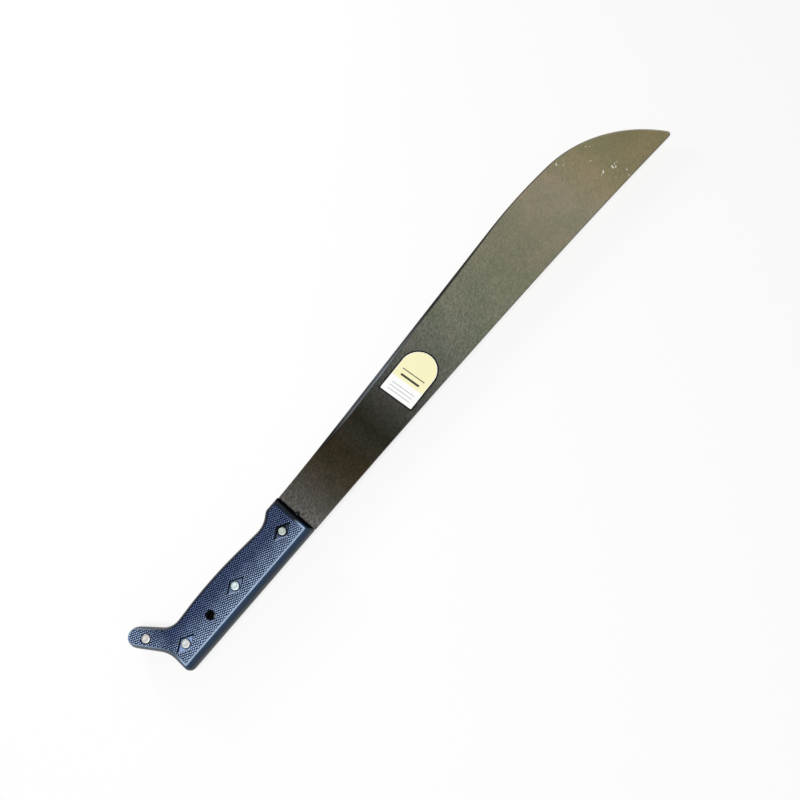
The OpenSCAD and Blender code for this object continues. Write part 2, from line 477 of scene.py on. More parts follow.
@dataclass(frozen=True)
class MouldedPolypropylene(Finish):
    """Navy polypropylene as it comes from a polished mould, half glossy.

    Handling has rubbed it paler along the back and towards the butt, and a painted highlight lies
    there too, brightest on the shoulder's ridge. The two ramps give the colour by height above
    the blade's mid-plane, with painted light and shade by height.
    """

    name: str = "polypropylene_moulded_navy"
    # Colour by height with painted shade and light: darkest low on the side, paler towards the
    # top.
    fresh_shading: Tints = (
        (0.0, "#0c1017"),
        (0.84, "#0a0f18"),
        (0.93, "#0c121c"),
        (0.965, "#111928"),
        (1.0, "#172032"),
    )
    # Worn plastic with painted light by height: grey at the seam as a painted reflection of the
    # floor, and a pale band at the shoulder's ridge as a painted highlight.
    rubbed_shading: Tints = (
        (0.0, "#2b3337"),
        (0.27, "#182632"),
        (0.5, "#0b2137"),
        (0.77, "#0f2f4d"),
        (0.86, "#1f3652"),
        (0.925, "#30475f"),
        (0.955, "#62768f"),
        (0.972, "#b2c6e0"),
        (0.99, "#acc0da"),
        (1.0, "#5f7490"),
    )
    # The heights of the ramps' ends.
    low_z: float = 0.0
    high_z: float = 11.0
    # The ways that wear and painted highlight grow in, each with where they start and are full.
    wear_and_highlight_way: Triple = (-0.02, -1.0, 0.0)
    wear_and_highlight_from: float = 2.0
    wear_and_highlight_to: float = 10.0
    butt_way: Triple = (-1.0, 0.0, 0.0)
    butt_from: float = 36.0
    butt_to: float = 64.0
    # Between these distances towards the blade the wear and painted highlight stop.
    fresh_unlit_from: float = 98.2
    fresh_unlit_to: float = 99.8
    # Painted light and shade: slopes that face this way take the paler colour of a higher place,
    # as if lit, and those that face the other way the darker colour of a lower one, as if shaded.
    painted_lean: float = 0.0
    painted_light_way: Triple = (0.78, 0.62, 0.0)
    mottle: Pattern = Pattern((9.0, 9.0, 9.0), detail=4.0, tones=(0.88, 1.12))
    # How far the mottling shifts the border of the wear and painted highlight.
    mottle_shift: float = 8.0
    grain: Pattern = Pattern((0.5, 0.5, 0.5), detail=2.0, strength=0.12, depth=0.03)
    roughness: float = 0.36
    # How far the roughness goes down and up with the mottling.
    sheen: Point = (0.05, 0.06)
    ior: float = 1.49
    gloss: float = 0.2

    def _wear_and_highlight(self, tree: bpy.types.NodeTree, place: Socket, mottle: Socket) -> Socket:
        """Adds the share of wear and painted highlight.

        Args:
            tree: The material's node tree.
            place: The coordinates, in metres.
            mottle: The mottling.

        Returns:
            0 where the plastic is fresh and unlit and 1 where it is rubbed and painted lit.
        """
        wear_and_highlight: Socket | float = 0.0
        for way, low, high in (
            (self.wear_and_highlight_way, self.wear_and_highlight_from, self.wear_and_highlight_to),
            (self.butt_way, self.butt_from, self.butt_to),
        ):
            reach = add_node(
                tree, "ShaderNodeVectorMath", {0: place, 1: way}, operation="DOT_PRODUCT"
            ).outputs["Value"]
            terms = {0: mottle, 1: self.mottle_shift * MM, 2: reach}
            reach = add_node(tree, "ShaderNodeMath", terms, operation="MULTIPLY_ADD").outputs[0]
            ends = {"Value": reach, "From Min": low * MM, "From Max": high * MM}
            part = add_node(tree, "ShaderNodeMapRange", ends).outputs[0]
            wear_and_highlight = add_node(
                tree, "ShaderNodeMath", {0: part, 1: wear_and_highlight}, operation="MAXIMUM"
            ).outputs[0]
        run = add_node(tree, "ShaderNodeSeparateXYZ", {0: place}).outputs["X"]
        ends = {"Value": run, "From Min": self.fresh_unlit_from * MM, "From Max": self.fresh_unlit_to * MM}
        ends |= {"To Min": 1.0, "To Max": 0.0}
        kept = add_node(tree, "ShaderNodeMapRange", ends).outputs[0]
        return add_node(
            tree, "ShaderNodeMath", {0: wear_and_highlight, 1: kept}, operation="MULTIPLY"
        ).outputs[0]

    def inputs(self, tree: bpy.types.NodeTree) -> Inputs:
        """Adds the tints by height with their painted light and shade, the wear with its painted
        highlight, the mottling and the mould's grain.

        Args:
            tree: The material's node tree.

        Returns:
            What each socket of the Principled shader takes.
        """
        place = add_node(tree, "ShaderNodeTexCoord").outputs["Object"]
        height = add_node(tree, "ShaderNodeSeparateXYZ", {0: place}).outputs["Z"]
        height = add_node(tree, "ShaderNodeMath", {0: height}, operation="ABSOLUTE").outputs[0]
        ends = {"Value": height, "From Min": self.low_z * MM, "From Max": self.high_z * MM}
        rise = add_node(tree, "ShaderNodeMapRange", ends).outputs[0]
        # Painted light: the way a face looks moves its colour up or down the ramps.
        normal = add_node(tree, "ShaderNodeNewGeometry").outputs["True Normal"]
        facing = add_node(
            tree, "ShaderNodeVectorMath", {0: normal, 1: self.painted_light_way}, operation="DOT_PRODUCT"
        ).outputs["Value"]
        terms = {0: facing, 1: self.painted_lean, 2: rise}
        rise = add_node(tree, "ShaderNodeMath", terms, operation="MULTIPLY_ADD").outputs[0]
        mottle = self.mottle.noise(tree, place)
        wear_and_highlight = self._wear_and_highlight(tree, place, mottle)
        fresh_shading, rubbed_shading = (
            add_node(tree, "ShaderNodeValToRGB", {0: rise}, tints).outputs[0]
            for tints in (self.fresh_shading, self.rubbed_shading)
        )
        tint = add_node(tree, "ShaderNodeMix", {0: wear_and_highlight, 6: fresh_shading, 7: rubbed_shading}, **BLEND).outputs[2]
        levels = (self.roughness - self.sheen[0], self.roughness + self.sheen[1])
        rough = add_node(
            tree, "ShaderNodeMapRange", self.mottle.spread(mottle, levels)
        ).outputs[0]
        grain = self.grain.noise(tree, place)
        return {
            "Base Color": self.mottle.shade(tree, mottle, tint),
            "Roughness": rough,
            "IOR": self.ior,
            "Specular IOR Level": self.gloss,
            "Normal": add_node(tree, "ShaderNodeBump", self.grain.relief(grain)).outputs[0],
        }


@dataclass(frozen=True)
class SetAluminium(Finish):
    """Soft aluminium pressed by a rivet set or a punch: pale, satin and ringed.

    V is the distance from the axis in metres.
    """

    colour: str
    ring: float = 0.35
    pit: float = 0.8
    roughness: float = 0.56
    # The rings and the pits are added, and shade and dent the metal together.
    both: Pattern = Pattern(
        (1.0, 1.0, 1.0), tones=(0.94, 1.03), strength=0.06, depth=0.05, low=0.7, high=1.3
    )

    def inputs(self, tree: bpy.types.NodeTree) -> Inputs:
        """Adds the rings and the pits.

        Args:
            tree: The material's node tree.

        Returns:
            What each socket of the Principled shader takes.
        """
        uv = add_node(tree, "ShaderNodeUVMap").outputs[0]
        place = add_node(tree, "ShaderNodeTexCoord").outputs["Object"]
        # U goes once round from 0 to 1, a quarter of a blotch, so the noise makes rings.
        rings = Pattern((4000.0, self.ring, 1.0), detail=2.0).noise(tree, uv)
        pits = Pattern((self.pit,) * 3).noise(tree, place)
        summed = add_node(
            tree, "ShaderNodeMath", {0: rings, 1: pits}, operation="ADD"
        ).outputs[0]
        return {
            "Base Color": self.both.shade(tree, summed, linear(self.colour)),
            "Metallic": 1.0,
            "Roughness": self.roughness,
            "Normal": add_node(tree, "ShaderNodeBump", self.both.relief(summed)).outputs[0],
        }


@dataclass(frozen=True)
class PrintedFilm(Finish):
    """Coated paper film with a cream field, a white field and plain ruled lines.

    Its coat has a soft sheen, and its fibres keep the fields from looking flat.
    U is the distance from the label's square end and V the distance from its
    centre line, both in metres.
    """

    name: str = "paper_label_printed_coated"
    cream: str = "#f8f3c4"
    white: str = "#fbfbfa"
    white_run: float = 16.9
    # The two fields run into each other over this length.
    fade: float = 1.4
    # Each rule's distance from the square end, width, half length and colour.
    rules: tuple[tuple[float, float, float, str], ...] = (
        (5.1, 0.45, 11.5, "#8d93a3"),
        (8.3, 0.45, 11.5, "#8d93a3"),
        (11.5, 0.45, 11.5, "#8d93a3"),
        (20.7, 1.9, 9.5, "#3a3833"),
        (25.7, 1.0, 11.5, "#77735f"),
    )
    fibres: Pattern = Pattern((0.8, 0.8, 0.8), detail=4.0, tones=(0.97, 1.0), strength=0.1)
    roughness: float = 0.42

    def inputs(self, tree: bpy.types.NodeTree) -> Inputs:
        """Adds the two fields, the rules and the paper's fibres.

        Args:
            tree: The material's node tree.

        Returns:
            What each socket of the Principled shader takes.
        """
        uv = add_node(tree, "ShaderNodeUVMap").outputs[0]
        parts = add_node(tree, "ShaderNodeSeparateXYZ", {0: uv})
        run, across = parts.outputs["X"], parts.outputs["Y"]
        low, high = ((self.white_run + k * self.fade / 2) * MM for k in (-1, 1))
        ends = {"Value": run, "From Min": low, "From Max": high}
        cream = add_node(tree, "ShaderNodeMapRange", ends).outputs[0]
        fields = {0: cream, 6: linear(self.white), 7: linear(self.cream)}
        printed = add_node(tree, "ShaderNodeMix", fields, **BLEND).outputs[2]
        offset = add_node(tree, "ShaderNodeMath", {0: across}, operation="ABSOLUTE").outputs[0]
        for at, width, half_length, colour in self.rules:
            terms = {0: run, 1: at * MM, 2: width * MM / 2}
            near = add_node(tree, "ShaderNodeMath", terms, operation="COMPARE").outputs[0]
            within = add_node(
                tree, "ShaderNodeMath", {0: offset, 1: half_length * MM}, operation="LESS_THAN"
            ).outputs[0]
            inked = add_node(
                tree, "ShaderNodeMath", {0: near, 1: within}, operation="MULTIPLY"
            ).outputs[0]
            layers = {0: inked, 6: printed, 7: linear(colour)}
            printed = add_node(tree, "ShaderNodeMix", layers, **BLEND).outputs[2]
        fibres = self.fibres.noise(tree, uv)
        return {
            "Base Color": self.fibres.shade(tree, fibres, printed),
            "Roughness": self.roughness,
            "Normal": add_node(tree, "ShaderNodeBump", self.fibres.relief(fibres)).outputs[0],
        }


@dataclass(frozen=True)
class PrintingInk(Finish):
    """Near-black ink of the label's outline, dried matt."""

    name: str = "printing_ink_black"
    tints: Tints = ((0.3, "#050506"), (0.8, "#0f0f11"))
    blotches: Pattern = Pattern((1.5, 1.5, 1.5))
    roughness: float = 0.55
    gloss: float = 0.15

    def inputs(self, tree: bpy.types.NodeTree) -> Inputs:
        """Adds the blotches of a thick and a thin layer.

        Args:
            tree: The material's node tree.

        Returns:
            What each socket of the Principled shader takes.
        """
        place = add_node(tree, "ShaderNodeTexCoord").outputs["Object"]
        blotches = self.blotches.noise(tree, place)
        tint = add_node(tree, "ShaderNodeValToRGB", {0: blotches}, self.tints).outputs[0]
        return {
            "Base Color": tint,
            "Roughness": self.roughness,
            "Specular IOR Level": self.gloss,
        }


@dataclass(frozen=True)
class StudioPaper(Finish):
    """White background paper that keeps the object's shadow.

    A share of plain white is added for what the camera and reflections see.
    """

    name: str = "background_paper_white"
    colour: str = "#f4f4f3"
    lift: float = 0.8
    roughness: float = 0.9
    gloss: float = 0.1

    def inputs(self, tree: bpy.types.NodeTree) -> Inputs:
        """Returns the paper's plain values."""
        values = {"Roughness": self.roughness, "Specular IOR Level": self.gloss}
        return values | {"Base Color": linear(self.colour)}

    def surface(self, tree: bpy.types.NodeTree, shader: bpy.types.Node) -> Socket:
        """Adds the share of plain white.

        Args:
            tree: The material's node tree.
            shader: The Principled shader.

        Returns:
            What the material's output takes.
        """
        rays = add_node(tree, "ShaderNodeLightPath")
        seen = rays.outputs["Is Camera Ray"]
        for kind in ("Is Glossy Ray", "Is Transmission Ray"):
            seen = add_node(
                tree, "ShaderNodeMath", {0: seen, 1: rays.outputs[kind]}, operation="MAXIMUM"
            ).outputs[0]
        share = add_node(
            tree, "ShaderNodeMath", {0: seen, 1: self.lift}, operation="MULTIPLY"
        ).outputs[0]
        white = add_node(tree, "ShaderNodeEmission", {"Color": (1.0, 1.0, 1.0, 1.0)})
        layers = {0: share, 1: shader.outputs["BSDF"], 2: white.outputs[0]}
        return add_node(tree, "ShaderNodeMixShader", layers).outputs[0]


def make_all(finishes: Mapping[IntEnum, Finish]) -> list[bpy.types.Material]:
    """Returns the materials of a mesh, in the order of its slots."""
    return [finishes[slot].build() for slot in sorted(finishes)]


# Mesh helpers


class MeshDraft:
    """Collects the corners and faces of one mesh, in millimetres."""

    def __init__(self) -> None:
        """Starts with nothing."""
        self.points: list[Triple] = []
        self.faces: list[tuple[int, ...]] = []
        self.slots: list[int] = []
        self.uvs: list[tuple[Point, ...] | None] = []

    def ring(self, loop: Loop, z: float | Sequence[float]) -> list[int]:
        """Adds the corners of a loop.

        Args:
            loop: The corners' X and Y.
            z: Their height, or one height for each.

        Returns:
            The corners' numbers.
        """
        heights = [z] * len(loop) if isinstance(z, (int, float)) else z
        first = len(self.points)
        self.points += [(x, y, h) for (x, y), h in zip(loop, heights)]
        return list(range(first, len(self.points)))

    def face(
        self, corners: Sequence[int], slot: int = 0, uv: tuple[Point, ...] | None = None
    ) -> None:
        """Adds one face.

        Args:
            corners: The corners' numbers, anticlockwise from outside.
            slot: The face's material slot.
            uv: The texture place of each corner.
        """
        self.faces.append(tuple(corners))
        self.slots.append(slot)
        self.uvs.append(uv)

    def bridge(
        self,
        lower: Sequence[int],
        upper: Sequence[int],
        slot: int = 0,
        closed: bool = True,
        uv: Callable[[int, int], Point] | None = None,
    ) -> None:
        """Joins two rings of equal length with four-sided faces.

        The faces look outwards when the rings run anticlockwise and the second
        lies above the first, and inwards when it lies below.

        Args:
            lower: The first ring.
            upper: The second ring.
            slot: The faces' material slot.
            closed: Whether the rings close on themselves.
            uv: Gives the texture place of a corner from its step along the
                ring and from 0 on the first ring or 1 on the second.
        """
        n = len(lower)
        for i in range(n if closed else n - 1):
            j = (i + 1) % n
            place = None
            if uv is not None:
                place = (uv(i, 0), uv(i + 1, 0), uv(i + 1, 1), uv(i, 1))
            self.face((lower[i], lower[j], upper[j], upper[i]), slot, place)

    def fill(self, rings: Sequence[Sequence[int]], up: bool = True, slot: int = 0) -> None:
        """Fills a flat region.

        Args:
            rings: The outer ring, then the ring of each hole.
            up: Whether the faces look up or down.
            slot: The faces' material slot.
        """
        order = [k for ring in rings for k in ring]
        places = [[Vector(self.points[k]) for k in ring] for ring in rings]
        for a, b, c in tessellate_polygon(places):
            p, q, r = (self.points[order[k]] for k in (a, b, c))
            area = (q[0] - p[0]) * (r[1] - p[1]) - (q[1] - p[1]) * (r[0] - p[0])
            corners = (order[a], order[b], order[c])
            self.face(corners if (area > 0) == up else corners[::-1], slot)

    def build(
        self,
        name: str,
        materials: Sequence[bpy.types.Material],
        side: Side = Side.FRONT,
        sharp: float = 32.0,
    ) -> bpy.types.Object:
        """Makes the object.

        Args:
            name: The object's name.
            materials: Its materials, in slot order.
            side: REAR mirrors the mesh in the blade's mid-plane.
            sharp: The angle in degrees above which an edge stays sharp.

        Returns:
            The object, linked to the scene.
        """
        flip = side is Side.REAR
        corners = [(x * MM, y * MM, z * MM * side.value) for x, y, z in self.points]
        faces = [f[::-1] if flip else f for f in self.faces]
        mesh = bpy.data.meshes.new(name)
        mesh.from_pydata(corners, [], faces)
        mesh.polygons.foreach_set("material_index", self.slots)
        if any(uv is not None for uv in self.uvs):
            layer = mesh.uv_layers.new(name="surface")
            values: list[float] = []
            for face, uv in zip(self.faces, self.uvs):
                place = uv or ((0.0, 0.0),) * len(face)
                for u, v in place[::-1] if flip else place:
                    values += [u, v]
            layer.data.foreach_set("uv", values)
        for material in materials:
            mesh.materials.append(material)
        mesh.shade_smooth()
        mesh.set_sharp_from_angle(angle=math.radians(sharp))
        mesh.validate()
        made = bpy.data.objects.new(name, mesh)
        bpy.context.scene.collection.objects.link(made)
        return made


def circle(centre: Point, radius: float, steps: int = 48) -> Loop:
    """Returns an anticlockwise circle."""
    turns = (2 * math.pi * k / steps for k in range(steps))
    return [(centre[0] + radius * math.cos(a), centre[1] + radius * math.sin(a)) for a in turns]


def revolve(
    draft: MeshDraft, centre: Point, profile: Sequence[Point], slot: int = 0, steps: int = 64
) -> None:
    """Turns a profile about an axis along Z, and closes it where it meets the axis.

    Args:
        draft: The mesh that takes the faces.
        centre: The axis's X and Y.
        profile: Radius and height of each step, so that the faces look outwards
            where it rises.
        slot: The faces' material slot.
        steps: Faces round the axis.
    """
    rings = [draft.ring(circle(centre, max(r, PIN_RADIUS), steps), z) for r, z in profile]
    for k in range(len(rings) - 1):
        radii = (profile[k][0] * MM, profile[k + 1][0] * MM)
        draft.bridge(
            rings[k], rings[k + 1], slot, uv=lambda i, up, radii=radii: (i / steps, radii[up])
        )
    on_axis = ((0.0, 0.0),) * steps
    if profile[0][0] == 0:
        draft.face(rings[0][::-1], slot, on_axis)
    if profile[-1][0] == 0:
        draft.face(rings[-1], slot, on_axis)


def settle(piece: bpy.types.Object, slot: Slot, *nodes: str) -> None:
    """Puts a finished piece on the body in place of its solids.

    Args:
        piece: The piece.
        slot: The record's material slot. It is not used.
        *nodes: The solids that it stands for.
    """
    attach(piece, "root")
    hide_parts(*nodes)
    logger.info("%s: %d faces", piece.name, len(piece.data.polygons))


# The handle


@dataclass(frozen=True)
class Corner:
    """One corner of the handle's outline, measured from its front corner on the back.

    steps and between are the faces round the corner and the points along the
    side after it, before the outline's fineness. share is the part of the
    rolled width that this side takes.
    """

    x: float
    y: float
    radius: float
    steps: int
    between: int
    share: float


@dataclass(frozen=True)
class HandleOutline:
    """The handle's outline on the parting plane, anticlockwise from its front."""

    front_x: float = 101.8
    back_y: float = -15.45
    length: float = 145.3
    height: float = 40.3
    fineness: int = 3
    # No corner gets tighter than this when the outline moves inwards.
    crisp: float = 0.6

    def corners(self) -> tuple[Corner, ...]:
        """Lists the corners.

        Returns:
            The corners, along the finger side first.
        """
        return (
            Corner(0, self.height, 1, 3, 1, 1),
            Corner(-15, self.height, 8, 4, 0, 1),
            Corner(-25, 33.3, 19, 6, 0, 1),
            Corner(-85, 37.9, 370, 12, 0, 1),
            Corner(-129.6, 34.3, 15, 6, 2, 0.68),
            Corner(-148.9, 58.8, 8.3, 4, 0, 0.68),
            Corner(-167.6, 57.2, 8.3, 8, 3, 0.68),
            Corner(-self.length, 22.8, 25, 6, 0, 1.1),
            Corner(-self.length, 0, 4.4, 5, 15, 1),
            Corner(0, 0, 1, 3, 0, 1.2),
        )

    def _arc(self, index: int, depth: float) -> list[Vector]:
        """Rounds one corner of the outline moved inwards.

        Args:
            index: The corner's number.
            depth: How far the sides move, before their shares.

        Returns:
            The points of the arc.
        """
        rows = self.corners()
        before, here, after = (rows[(index + k) % len(rows)] for k in (-1, 0, 1))
        at = Vector((here.x + self.front_x, here.y + self.back_y))
        u = Vector((here.x - before.x, here.y - before.y)).normalized()
        v = Vector((after.x - here.x, after.y - here.y)).normalized()
        bend = u.x * v.y - u.y * v.x
        side = math.copysign(1.0, bend)
        turn = math.acos(max(-1.0, min(1.0, u.dot(v))))
        a, b = depth * before.share, depth * here.share
        moved = at + (a * v - b * u) / bend
        radius = max(here.radius - side * (a + b) / 2, self.crisp)
        inward = Vector((-u.y, u.x))
        centre = moved - u * radius * math.tan(turn / 2) + side * radius * inward
        steps = here.steps * self.fineness
        return [
            centre - side * radius * (Matrix.Rotation(side * turn * k / steps, 2) @ inward)
            for k in range(steps + 1)
        ]

    def inset(self, depth: float) -> Loop:
        """Moves the whole outline inwards.

        Args:
            depth: How far its sides move, before their shares.

        Returns:
            An anticlockwise loop.
        """
        rows = self.corners()
        arcs = [self._arc(i, depth) for i in range(len(rows))]
        loop: Loop = []
        for i, row in enumerate(rows):
            start, end = arcs[i][-1], arcs[(i + 1) % len(rows)][0]
            count = row.between * self.fineness
            loop += [(p.x, p.y) for p in arcs[i]]
            for k in range(1, count + 1):
                p = start.lerp(end, k / (count + 1))
                loop.append((p.x, p.y))
        return loop


@dataclass(frozen=True)
class RivetPlan:
    """Where the rivets stand, and the recess that each head sits in."""

    names: tuple[str, ...] = ("front", "middle", "rear", "beak")
    places: tuple[Point, ...] = ((84.1, 0.8), (28.7, 0.5), (-28.3, 0.0), (-46.7, 27.1))
    round_recess: int = 3
    round_radius: float = 4.3
    depth: float = 1.5
    length: float = 20.0
    width: float = 12.4
    floor_share: float = 0.8
    # The set spread each head a little differently.
    head_radii: tuple[float, ...] = (3.2, 3.42, 3.52, 3.52)
    tints: tuple[str, ...] = ("#aeb7b2", "#bdcccf", "#bcc0bf", "#c2c1bf")
    washer_finish: SetAluminium = SetAluminium("aluminium_washer_stamped", "#c9cdc7", ring=0.6)

    def recess(self, index: int, below_top: float) -> Loop:
        """Returns the outline of a recess at a depth below the panel's top.

        Args:
            index: The rivet's number.
            below_top: The depth.

        Returns:
            An anticlockwise loop.
        """
        x, y = self.places[index]
        if index == self.round_recess:
            return circle(self.places[index], self.round_radius)
        share = 1 - (1 - self.floor_share) * below_top / self.depth
        half_l, half_w = share * self.length / 2, share * self.width / 2
        return [(x + half_l, y), (x, y + half_w), (x - half_l, y), (x, y - half_w)]


@dataclass(frozen=True)
class Chequering:
    """Fine raised diamonds cut into the mould, long along the handle.

    The diamonds are 3.33 mm long and 1.93 mm wide, and each rises from
    V-grooves at 30 degrees either side of the handle's axis to a small flat.
    """

    length: float = 3.334
    width: float = 1.925
    # The share of the cell that the flat and the shoulder cover, across one
    # family of grooves and across the other.
    flat_share: Point = (0.32, 0.46)
    shoulder_share: Point = (0.48, 0.62)
    shoulder_z: float = 10.9
    root_z: float = 10.45
    groove_z: float = 10.6
    tip_z: float = 11.0
    # How far the untrimmed field goes past the cut, and the punch past the tips.
    spare: float = 0.4

    def _field(self, low: Point, high: Point) -> bpy.types.Object:
        """Makes a closed slab of diamonds.

        Args:
            low: The region's lowest X and Y.
            high: The region's highest X and Y.

        Returns:
            The slab.
        """
        draft = MeshDraft()
        column, half = self.length / 2, self.width / 2
        first, last = math.floor(low[0] / column), math.ceil(high[0] / column)
        bottom, top = math.floor(low[1] / half), math.ceil(high[1] / half)
        bottom -= bottom % 2
        top += top % 2
        grid: dict[tuple[int, int], int] = {}
        for i in range(first, last + 1):
            for j in range(bottom, top + 1):
                grid[i, j] = draft.ring([(i * column, j * half)], self.groove_z)[0]
        for i in range(first + 1, last):
            for j in range(bottom + 1, top):
                if (i + j) % 2:
                    continue
                x, y = i * column, j * half
                ring = [grid[i + 1, j], grid[i, j + 1], grid[i - 1, j], grid[i, j - 1]]
                for (f, g), z in (
                    (self.shoulder_share, self.shoulder_z),
                    (self.flat_share, self.tip_z),
                ):
                    a, b = (f + g) / 2 * column, (f - g) / 2 * half
                    c, d = (f - g) / 2 * column, (f + g) / 2 * half
                    above = draft.ring(
                        [(x + a, y + b), (x + c, y + d), (x - a, y - b), (x - c, y - d)], z
                    )
                    draft.bridge(ring, above)
                    ring = above
                draft.face(ring)
        self._close(draft, grid, (first, last, bottom, top))
        return draft.build("chequering_field", [])

    def _close(
        self,
        draft: MeshDraft,
        grid: dict[tuple[int, int], int],
        span: tuple[int, int, int, int],
    ) -> None:
        """Closes the slab round its border and underneath.

        Args:
            draft: The slab.
            grid: The groove corners by column and row.
            span: The first and last column and row.
        """
        first, last, bottom, top = span
        border = [(i, bottom) for i in range(first, last)]
        border += [(last, j) for j in range(bottom, top)]
        border += [(i, top) for i in range(last, first, -1)]
        border += [(first, j) for j in range(top, bottom, -1)]
        rim = [grid[k] for k in border]
        foot = draft.ring([draft.points[k][:2] for k in rim], self.root_z - self.spare)
        draft.bridge(foot, rim)
        draft.fill([foot], up=False)
        for i, j in grid:
            inside = first < i < last and bottom < j < top
            if (i + j) % 2 == 0 and not inside:
                self._edge_cell(draft, grid, (i, j))

    @staticmethod
    def _edge_cell(
        draft: MeshDraft, grid: dict[tuple[int, int], int], cell: tuple[int, int]
    ) -> None:
        """Fills the flat half or quarter diamond at the slab's border.

        Args:
            draft: The slab.
            grid: The groove corners by column and row.
            cell: The diamond's column and row.
        """
        i, j = cell
        around = [(i + 1, j), (i, j + 1), (i - 1, j), (i, j - 1)]
        for a, b in zip(around, around[1:] + around[:1]):
            if a in grid and b in grid:
                draft.face((grid[cell], grid[a], grid[b]))

    def cut(self, outer: Loop, holes: Sequence[tuple[Loop, Loop]]) -> bpy.types.Mesh:
        """Cuts the field to a panel.

        Args:
            outer: The panel's outline.
            holes: Each hole's outline at root_z and at spare above the tips.

        Returns:
            The panel's mesh.
        """
        xs, ys = [p[0] for p in outer], [p[1] for p in outer]
        margin = 2 * self.length
        field_object = self._field(
            (min(xs) - margin, min(ys) - margin), (max(xs) + margin, max(ys) + margin)
        )
        punch = MeshDraft()
        low_z, high_z = self.root_z, self.tip_z + self.spare
        lower, upper = punch.ring(outer, low_z), punch.ring(outer, high_z)
        punch.bridge(lower, upper)
        low_rings, high_rings = [lower], [upper]
        for bottom, top in holes:
            a, b = punch.ring(bottom, low_z), punch.ring(top, high_z)
            punch.bridge(b, a)
            low_rings.append(a)
            high_rings.append(b)
        punch.fill(low_rings, up=False)
        punch.fill(high_rings)
        punch_object = punch.build("chequering_punch", [])
        modifier = field_object.modifiers.new("trim", "BOOLEAN")
        modifier.operation = "INTERSECT"
        modifier.solver = "EXACT"
        modifier.object = punch_object
        bpy.context.view_layer.update()
        graph = bpy.context.evaluated_depsgraph_get()
        trimmed = bpy.data.meshes.new_from_object(field_object.evaluated_get(graph))
        for spent in (field_object, punch_object):
            bpy.data.objects.remove(spent)
        return trimmed


